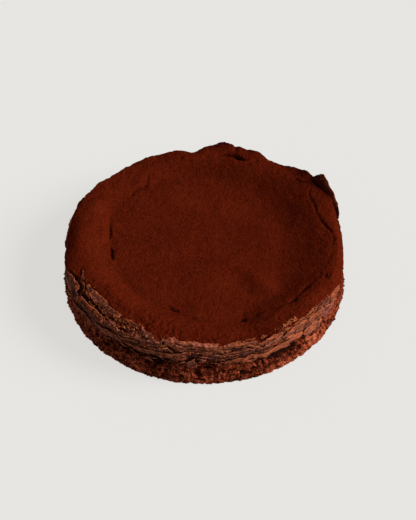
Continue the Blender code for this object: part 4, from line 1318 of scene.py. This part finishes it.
def make_second_bake(materials):
    """The upper bake: torn papery side, raised rim and sunken floor under cocoa."""
    around = angles(UPPER_AROUND)[None, :]
    hidden = hidden_rings(SEAM_HEIGHT + SEAM_GAP, UPPER_AROUND)[::-1]
    unseen = sum(len(points) for points in hidden)
    grids = [second_bake_side(around)]
    for start, end, count, fewer in TOP_BANDS:
        some = angles(UPPER_AROUND // fewer)[None, :]
        grids.append(second_bake_top(some, np.linspace(start, end, count, endpoint=False)))
    middle = np.array([[0.0, 0.0, float(top_height(np.zeros(1), np.zeros(1))[0])]])
    rings = hidden + [row for rows, _ in grids for row in rows] + [middle]
    points, faces = solid_of_rings(rings)
    # Masks of the hidden underside and of the top's middle point; the underside is painted fully dark, as
    # shade
    ends = {
        "cocoa": (-20.0, 99.0),
        "dark": (1.0, 0.0),
        "edge": (0.0, 0.0),
        "tone": (0.3, 0.3),
        "warmth": (0.5, 0.5),
    }
    masks = {}
    for mask, (first, last) in ends.items():
        parts = [np.broadcast_to(marks[mask], rows.shape[:2]).ravel() for rows, marks in grids]
        masks[mask] = np.concatenate([np.full(unseen, first), *parts, np.full(1, last)])
    dusted = [0 if masks["cocoa"][face[0]] > -1.0 else 1 for face in faces]
    return mesh_object("second_bake_skin", points, faces, materials, masks, dusted)


def grid(low, high, counts):
    """How far along a plate from -1 to 1, and how far across it from low to high, at each of its points."""
    rows, columns = counts
    return np.meshgrid(np.linspace(-1.0, 1.0, rows), np.linspace(low, high, columns), indexing="ij")


def flake(number, values, counts, seed):
    """One papery flake: it lies in the skin along its lower edge and curls off it at its upper edge."""
    centre, climb, half_length, half_height, stand_off, slant, warmth, tone = values
    along, across = grid(-1.0, 1.0, counts)
    run = along * half_length
    taper = np.sqrt(np.clip(1.0 - FLAKE_TAPER * along**2, 0.0, 1.0))
    uneven = FLAKE_RAGGED * lattice_noise(along * FLAKE_LOBES, across, 0.0, seed + number)
    up = climb + half_height * (across * taper + uneven + slant * along)
    for step, (size, spacing) in enumerate(FLAKE_NIBBLES):
        nibbles = size * lattice_noise(run / spacing, 0.0, float(number), seed + 200 + step)
        up = up + nibbles * ease(np.abs(across), 0.3, 1.0)
    angle = centre + np.degrees(run / CAKE_RADIUS)
    loose = FLAKE_HELD_SHARE + (1.0 - FLAKE_HELD_SHARE) * ease(across, -1.0, 0.8)
    curl = stand_off * loose * (1.0 - FLAKE_WAVE + FLAKE_WAVE * np.cos(FLAKE_LOBES * along + number))
    for step, (size, spacing, folds) in enumerate(FLAKE_WRINKLES):
        wrinkle = lattice_noise(run / spacing, across * folds, 0.0, seed + 90 + number + 7 * step)
        curl = curl + size * wrinkle
    border = np.maximum(np.abs(along) ** 4, ease(across, 0.0, 1.0))
    thickness = FLAKE_THICKNESS + (FLAKE_EDGE_THICKNESS - FLAKE_THICKNESS) * border
    points, faces = plate(skin_point(angle, up, curl), skin_point(angle, up, curl - thickness))
    # Pale rims, partly a painted highlight
    rim = ease(np.maximum(np.abs(along) * 0.96, across), 0.78, 1.0)
    mottle = lattice_noise(run / FLAKE_MOTTLE_LENGTH, across * 1.5, 0.0, seed + 150 + number)
    pale = tone + FLAKE_MOTTLE * mottle
    dusted = side_reach(angle, np.clip(up / SIDE_CLIMB, 0.0, 1.0)) * (climb < SIDE_CLIMB) - FLAKE_BARE
    rim_dust = RIM_DUST + RIM_DUST_CHANGE * ease(across, 0.2, 1.0) * (climb > SIDE_CLIMB)
    dusted = np.maximum(dusted, rim_dust)
    masks = {
        "cocoa": np.tile(dusted.ravel(), 2),
        "warmth": warmth,
        "tone": np.tile(np.clip(pale, 0.0, 1.0).ravel(), 2),
        "edge": np.tile(rim.ravel(), 2),
        # Painted shade towards the lower edge of the face, and over the back that faces the cake
        "dark": np.concatenate([0.6 * ease(-across, 0.55, 1.0).ravel(), np.full(along.size, 0.8)]),
    }
    return points, faces, masks


def make_flakes(material):
    parts = [flake(number, values, FLAKE_GRID, 40) for number, values in enumerate(SIDE_FLAKES)]
    points, faces, masks = joined(parts)
    return mesh_object("crust_flakes", points, faces, [material], masks)


def make_scraps(material):
    """Small torn scraps of crust all round the second bake's side."""
    rng = np.random.default_rng(DRAW_SEED)
    parts = []
    for number in range(SCRAP_COUNT):
        centre, climb = rng.uniform(0.0, 360.0), rng.uniform(*SCRAP_CLIMBS)
        half_length, half_height = rng.uniform(*SCRAP_LENGTHS), rng.uniform(*SCRAP_HEIGHTS)
        stand_off, slant = rng.uniform(*SCRAP_STAND_OFFS), rng.uniform(-0.8, 0.8)
        if swells(centre, CRUST_CALMS) > BUSY_CALM:
            continue
        tone, warmth = crust_tones(np.array(centre), np.array(climb))
        tone, warmth = float(tone) + rng.uniform(-0.2, 0.3), float(warmth) + rng.uniform(-0.4, 0.4)
        values = (centre, climb, half_length, half_height, stand_off, slant, warmth, tone)
        parts.append(flake(number, values, SCRAP_GRID, 300))
    for centre, spread, middle, height, count in RIM_SLIVERS:
        for number in range(count):
            angle = centre + spread * rng.uniform(-1.0, 1.0)
            climb = middle + height * rng.uniform(-1.0, 1.0)
            half_length, half_height = rng.uniform(*SLIVER_LENGTHS), rng.uniform(*SLIVER_HEIGHTS)
            stand_off, slant = rng.uniform(*SLIVER_STAND_OFFS), rng.uniform(-0.6, 0.6)
            tone = rng.uniform(*SLIVER_TONES)
            values = (angle, climb, half_length, half_height, stand_off, slant, SLIVER_WARMTH, tone)
            parts.append(flake(number, values, SCRAP_GRID, 340))
    points, faces, masks = joined(parts)
    return mesh_object("crust_scraps", points, faces, [material], masks)


def crag(number, values):
    """One upright crag of crust, rooted in the rim and pointed unevenly at its top."""
    centre, half_length, height, lean, cocoa = values
    along, across = grid(0.0, 1.0, CRAG_GRID)
    angle = centre + np.degrees(along * half_length / CAKE_RADIUS)
    jags = 1.0 - CRAG_JAGS + CRAG_JAGS * lattice_noise(along * FLAKE_LOBES, 0.0, 0.0, 60 + number)
    nibbles = CRAG_NIBBLES * lattice_noise(along * 16.0, 0.0, 0.0, 70 + number)
    profile = np.sqrt(1.0 - CRAG_TAPER * (along - CRAG_PEAK) ** 2) * jags + nibbles
    top = brink_height(angle) + height * (profile - CRAG_SUNK_SHARE)
    foot = brink_height(angle) - CRAG_ROOT
    wrinkle = CRAG_WRINKLE * lattice_noise(along * 7.0, across * 3.0, 0.0, 80 + number)
    radius = brink_radius(angle) - CRAG_INSET + lean * across**CRAG_CURL + wrinkle * across
    rise = foot + (top - foot) * across
    thickness = CRAG_THICKNESS + (CRAG_EDGE_THICKNESS - CRAG_THICKNESS) * np.maximum(across, along**4)
    points, faces = plate(ring(angle, radius, rise), ring(angle, radius - thickness, rise))
    # A pale top edge, partly a painted highlight
    edge = np.tile(ease(across, 0.88, 1.0).ravel(), 2)
    return points, faces, {"cocoa": cocoa, "warmth": 1.0, "tone": 0.5, "edge": edge, "dark": 0.0}


def flap():
    """The tall flap of crust at the upper right, leaning a little outwards."""
    turns, heights = np.array(FLAP_EDGE, dtype=float).T
    middle, half = 0.5 * (turns[0] + turns[-1]), 0.5 * (turns[-1] - turns[0])
    along, across = grid(0.0, 1.0, FLAP_GRID)
    angle = middle + half * along
    top = MM * np.interp(angle, turns, heights) + rim_noise(angle, FLAP_NIBBLES, 98)
    foot = np.minimum(brink_height(angle), top) - FLAP_ROOT_DEPTH
    wrinkle = FLAP_WRINKLE * lattice_noise(angle * 0.7, across * 4.0, 0.0, 99)
    lean = (FLAP_EDGE_RADIUS - FLAP_ROOT_RADIUS) * across
    ends = ease(np.abs(angle - middle), *FLAP_END_TURNS)
    radius = FLAP_ROOT_RADIUS + lean - FLAP_END_BEND * ends * across + wrinkle
    rise = foot + (top - foot) * across
    thickness = FLAP_THICKNESS - FLAP_EDGE_THINNER * across
    points, faces = plate(ring(angle, radius, rise), ring(angle, radius - thickness, rise))
    masks = {
        "cocoa": np.tile((2.0 - 2.3 * ease(across, 0.45, 0.8) + 3.0 * ends).ravel(), 2),
        "warmth": 1.0,
        "tone": 0.5,
        # A pale top edge, partly a painted highlight, and painted shade towards the root
        "edge": np.tile((0.5 * ease(across, 0.95, 1.0)).ravel(), 2),
        "dark": np.tile((0.7 * (1.0 - ease(across, 0.1, 0.5))).ravel(), 2),
    }
    return points, faces, masks


def make_crags(material):
    parts = [crag(number, values) for number, values in enumerate(RIM_CRAGS)]
    points, faces, masks = joined([*parts, flap()])
    return mesh_object("rim_crags", points, faces, [material], masks)


def lumps(name, places, radii, material, masks, seed):
    """Many small uneven lumps joined as one mesh, with masks of one value per lump."""
    bed = bmesh.new()
    bmesh.ops.create_icosphere(bed, subdivisions=2, radius=1.0)
    ball = np.array([corner.co for corner in bed.verts])
    triangles = np.array([[corner.index for corner in face.verts] for face in bed.faces])
    bed.free()
    rng = np.random.default_rng(seed)
    count = len(places)
    turns = np.linalg.qr(rng.normal(size=(count, 3, 3)))[0]
    turns = turns * np.sign(np.linalg.det(turns))[:, None, None]
    shapes = rng.uniform(*LUMP_STRETCHES, size=(count, 1, 3))
    spots = ball[None] * 1.1 + rng.uniform(0.0, 90.0, size=(count, 1, 3))
    knobs = 1.0 + LUMP_KNOBS * lattice_noise(spots[..., 0], spots[..., 1], spots[..., 2], seed)
    points = np.einsum("nvk,nkj->nvj", ball[None] * shapes * knobs[..., None], turns)
    points = places[:, None] + points * radii[:, None, None]
    faces = triangles[None] + len(ball) * np.arange(count)[:, None, None]
    spread = {mask: np.repeat(values, len(ball)) for mask, values in masks.items()}
    return mesh_object(name, points.reshape(-1, 3), faces.reshape(-1, 3).tolist(), [material], spread)


def make_side_crumbs(material):
    """Crumbs that stand out of the first bake's side and along the seam, most of them small."""
    rng = np.random.default_rng(DRAW_SEED + 1)
    small, large = SIDE_CRUMB_RADII
    count = SIDE_CRUMBS + SEAM_CRUMBS
    radii = small + (large - small) * rng.uniform(size=count) ** 3
    around = rng.uniform(0.0, 360.0, size=count)
    share = np.clip(rng.beta(0.8, 0.9, size=SIDE_CRUMBS), 0.02, 0.97)
    side, _ = lower_side(around[:SIDE_CRUMBS], share)
    seam = around[SIDE_CRUMBS:]
    level = rng.uniform(*SEAM_CRUMB_CLIMBS, size=SEAM_CRUMBS)
    above = side_form(seam, np.clip(level / SIDE_CLIMB, 0.0, 1.0)) - SEAM_CRUMB_SUNK
    shelf = np.where(level < seam_lift(seam), SEAM_SHELF_RADIUS, above)
    low = np.maximum(share * SEAM_HEIGHT, 1.25 * radii[:SIDE_CRUMBS])
    height = np.concatenate([low, SEAM_HEIGHT + level])
    radius = np.concatenate([side + 0.1 * radii[:SIDE_CRUMBS], shelf])
    tone = crumb_tone(around, height - SEAM_HEIGHT) + rng.uniform(-0.35, 0.3, size=count)
    masks = {
        "raised": np.full(count, 0.8),
        "tone": np.clip(tone, 0.0, 1.0),
        "dusting": np.clip(swells(around, DUSTED_STRETCHES), 0.0, 1.0),
    }
    return lumps("side_crumbs", ring(around, radius, height), radii, material, masks, 51)


def make_rim_crumbs(material):
    """Crumbs of broken crust along the rim, and two pale specks on the cocoa."""
    rng = np.random.default_rng(DRAW_SEED + 2)
    small, large = RIM_CRUMB_RADII
    around, radius = [], []
    for centre, spread, place, width, count in RIM_CRUMB_CLUSTERS:
        around.append(centre + spread * rng.uniform(-1.0, 1.0, size=count))
        radius.append(MM * (place + width * rng.uniform(-1.0, 1.0, size=count)))
    around, radius = np.concatenate(around), np.concatenate(radius)
    speck_x, speck_y = MM * np.array(SPECKS).T
    around = np.concatenate([around, np.degrees(np.arctan2(speck_y, speck_x))])
    radius = np.concatenate([radius, np.hypot(speck_x, speck_y)])
    radii = small + (large - small) * rng.uniform(size=len(around)) ** 2
    height = top_height(around, np.minimum(radius, brink_radius(around))) + 0.3 * radii
    masks = {
        "cocoa": rng.uniform(-9.0, -2.0, size=len(around)),
        "warmth": rng.uniform(0.5, 1.0, size=len(around)),
        "tone": rng.uniform(0.3, 1.0, size=len(around)),
        "edge": rng.uniform(0.0, 0.8, size=len(around)),
        "dark": np.zeros(len(around)),
    }
    return lumps("rim_crumbs", ring(around, radius, height), radii, material, masks, 52)


# Floor, light and camera


def make_stage():
    """A plain pale floor under soft light from the right, a little towards the front."""
    bpy.ops.mesh.primitive_plane_add(size=FLOOR_SIZE, location=(0.0, 0.0, -FLOOR_DROP))
    floor = bpy.context.object
    floor.name = "floor"
    material, _, shader, _ = start_material("floor", 0.0)
    shader.inputs["Base Color"].default_value = FLOOR_COLOUR
    shader.inputs["Roughness"].default_value = 1.0
    shader.inputs["Emission Color"].default_value = ROOM_COLOUR
    shader.inputs["Emission Strength"].default_value = FLOOR_GLOW
    floor.data.materials.append(material)
    lamp = bpy.data.lights.new("key", "SUN")
    lamp.energy = SUN_STRENGTH
    lamp.angle = SUN_SPREAD
    key = bpy.data.objects.new("key", lamp)
    key.rotation_euler = (0.0, SUN_TILT, SUN_TURN)
    bpy.context.scene.collection.objects.link(key)
    world = bpy.data.worlds.new("soft_room")
    world.use_nodes = True
    tree = world.node_tree
    sky = tree.nodes["Background"]
    sky.inputs["Color"].default_value = ROOM_COLOUR
    seen = tree.nodes.new("ShaderNodeLightPath").outputs["Is Camera Ray"]
    feed(sky.inputs["Strength"], step_between(tree, seen, 0.0, 1.0, ROOM_LIGHT, 1.0))
    bpy.context.scene.world = world
    bpy.context.scene.view_settings.view_transform = "Standard"


def make_camera():
    data = bpy.data.cameras.new("camera")
    camera = bpy.data.objects.new("camera", data)
    back, up = math.cos(CAMERA_ELEVATION), math.sin(CAMERA_ELEVATION)
    camera.location = (0.0, -CAMERA_DISTANCE * back, CAMERA_DISTANCE * up)
    camera.rotation_euler = (math.pi / 2 - CAMERA_ELEVATION, 0.0, 0.0)
    data.sensor_width = SENSOR
    data.lens = PIXELS_PER_METRE * CAMERA_DISTANCE / FRAME_HEIGHT * SENSOR
    data.shift_x = (FRAME_WIDTH / 2 - CAKE_MIDDLE[0]) / FRAME_HEIGHT
    data.shift_y = (CAKE_MIDDLE[1] - FRAME_HEIGHT / 2) / FRAME_HEIGHT
    bpy.context.scene.collection.objects.link(camera)
    bpy.context.scene.camera = camera


def settle(piece, slot, *nodes):
    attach(piece, "root")
    if nodes:
        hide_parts(*nodes)


make_camera()
make_stage()
effects = {"cocoa": cocoa_effect(), "crust": crust_effect(), "crumb": crumb_effect()}
cocoa_top = skin_material("cocoa_top", 0.0, effects)
torn_crust = skin_material("torn_crust", 0.06, effects)
baked_crumb = crumb_material(effects)
settle(make_first_bake(baked_crumb), "crumb", "first_bake")
settle(make_second_bake([cocoa_top, torn_crust]), "cocoa_dusted_crust", "second_bake")
settle(make_flakes(torn_crust), "cocoa_dusted_crust", "second_bake")
settle(make_crags(torn_crust), "cocoa_dusted_crust", "second_bake")
settle(make_scraps(torn_crust), "cocoa_dusted_crust")
settle(make_side_crumbs(baked_crumb), "crumb")
settle(make_rim_crumbs(torn_crust), "cocoa_dusted_crust")
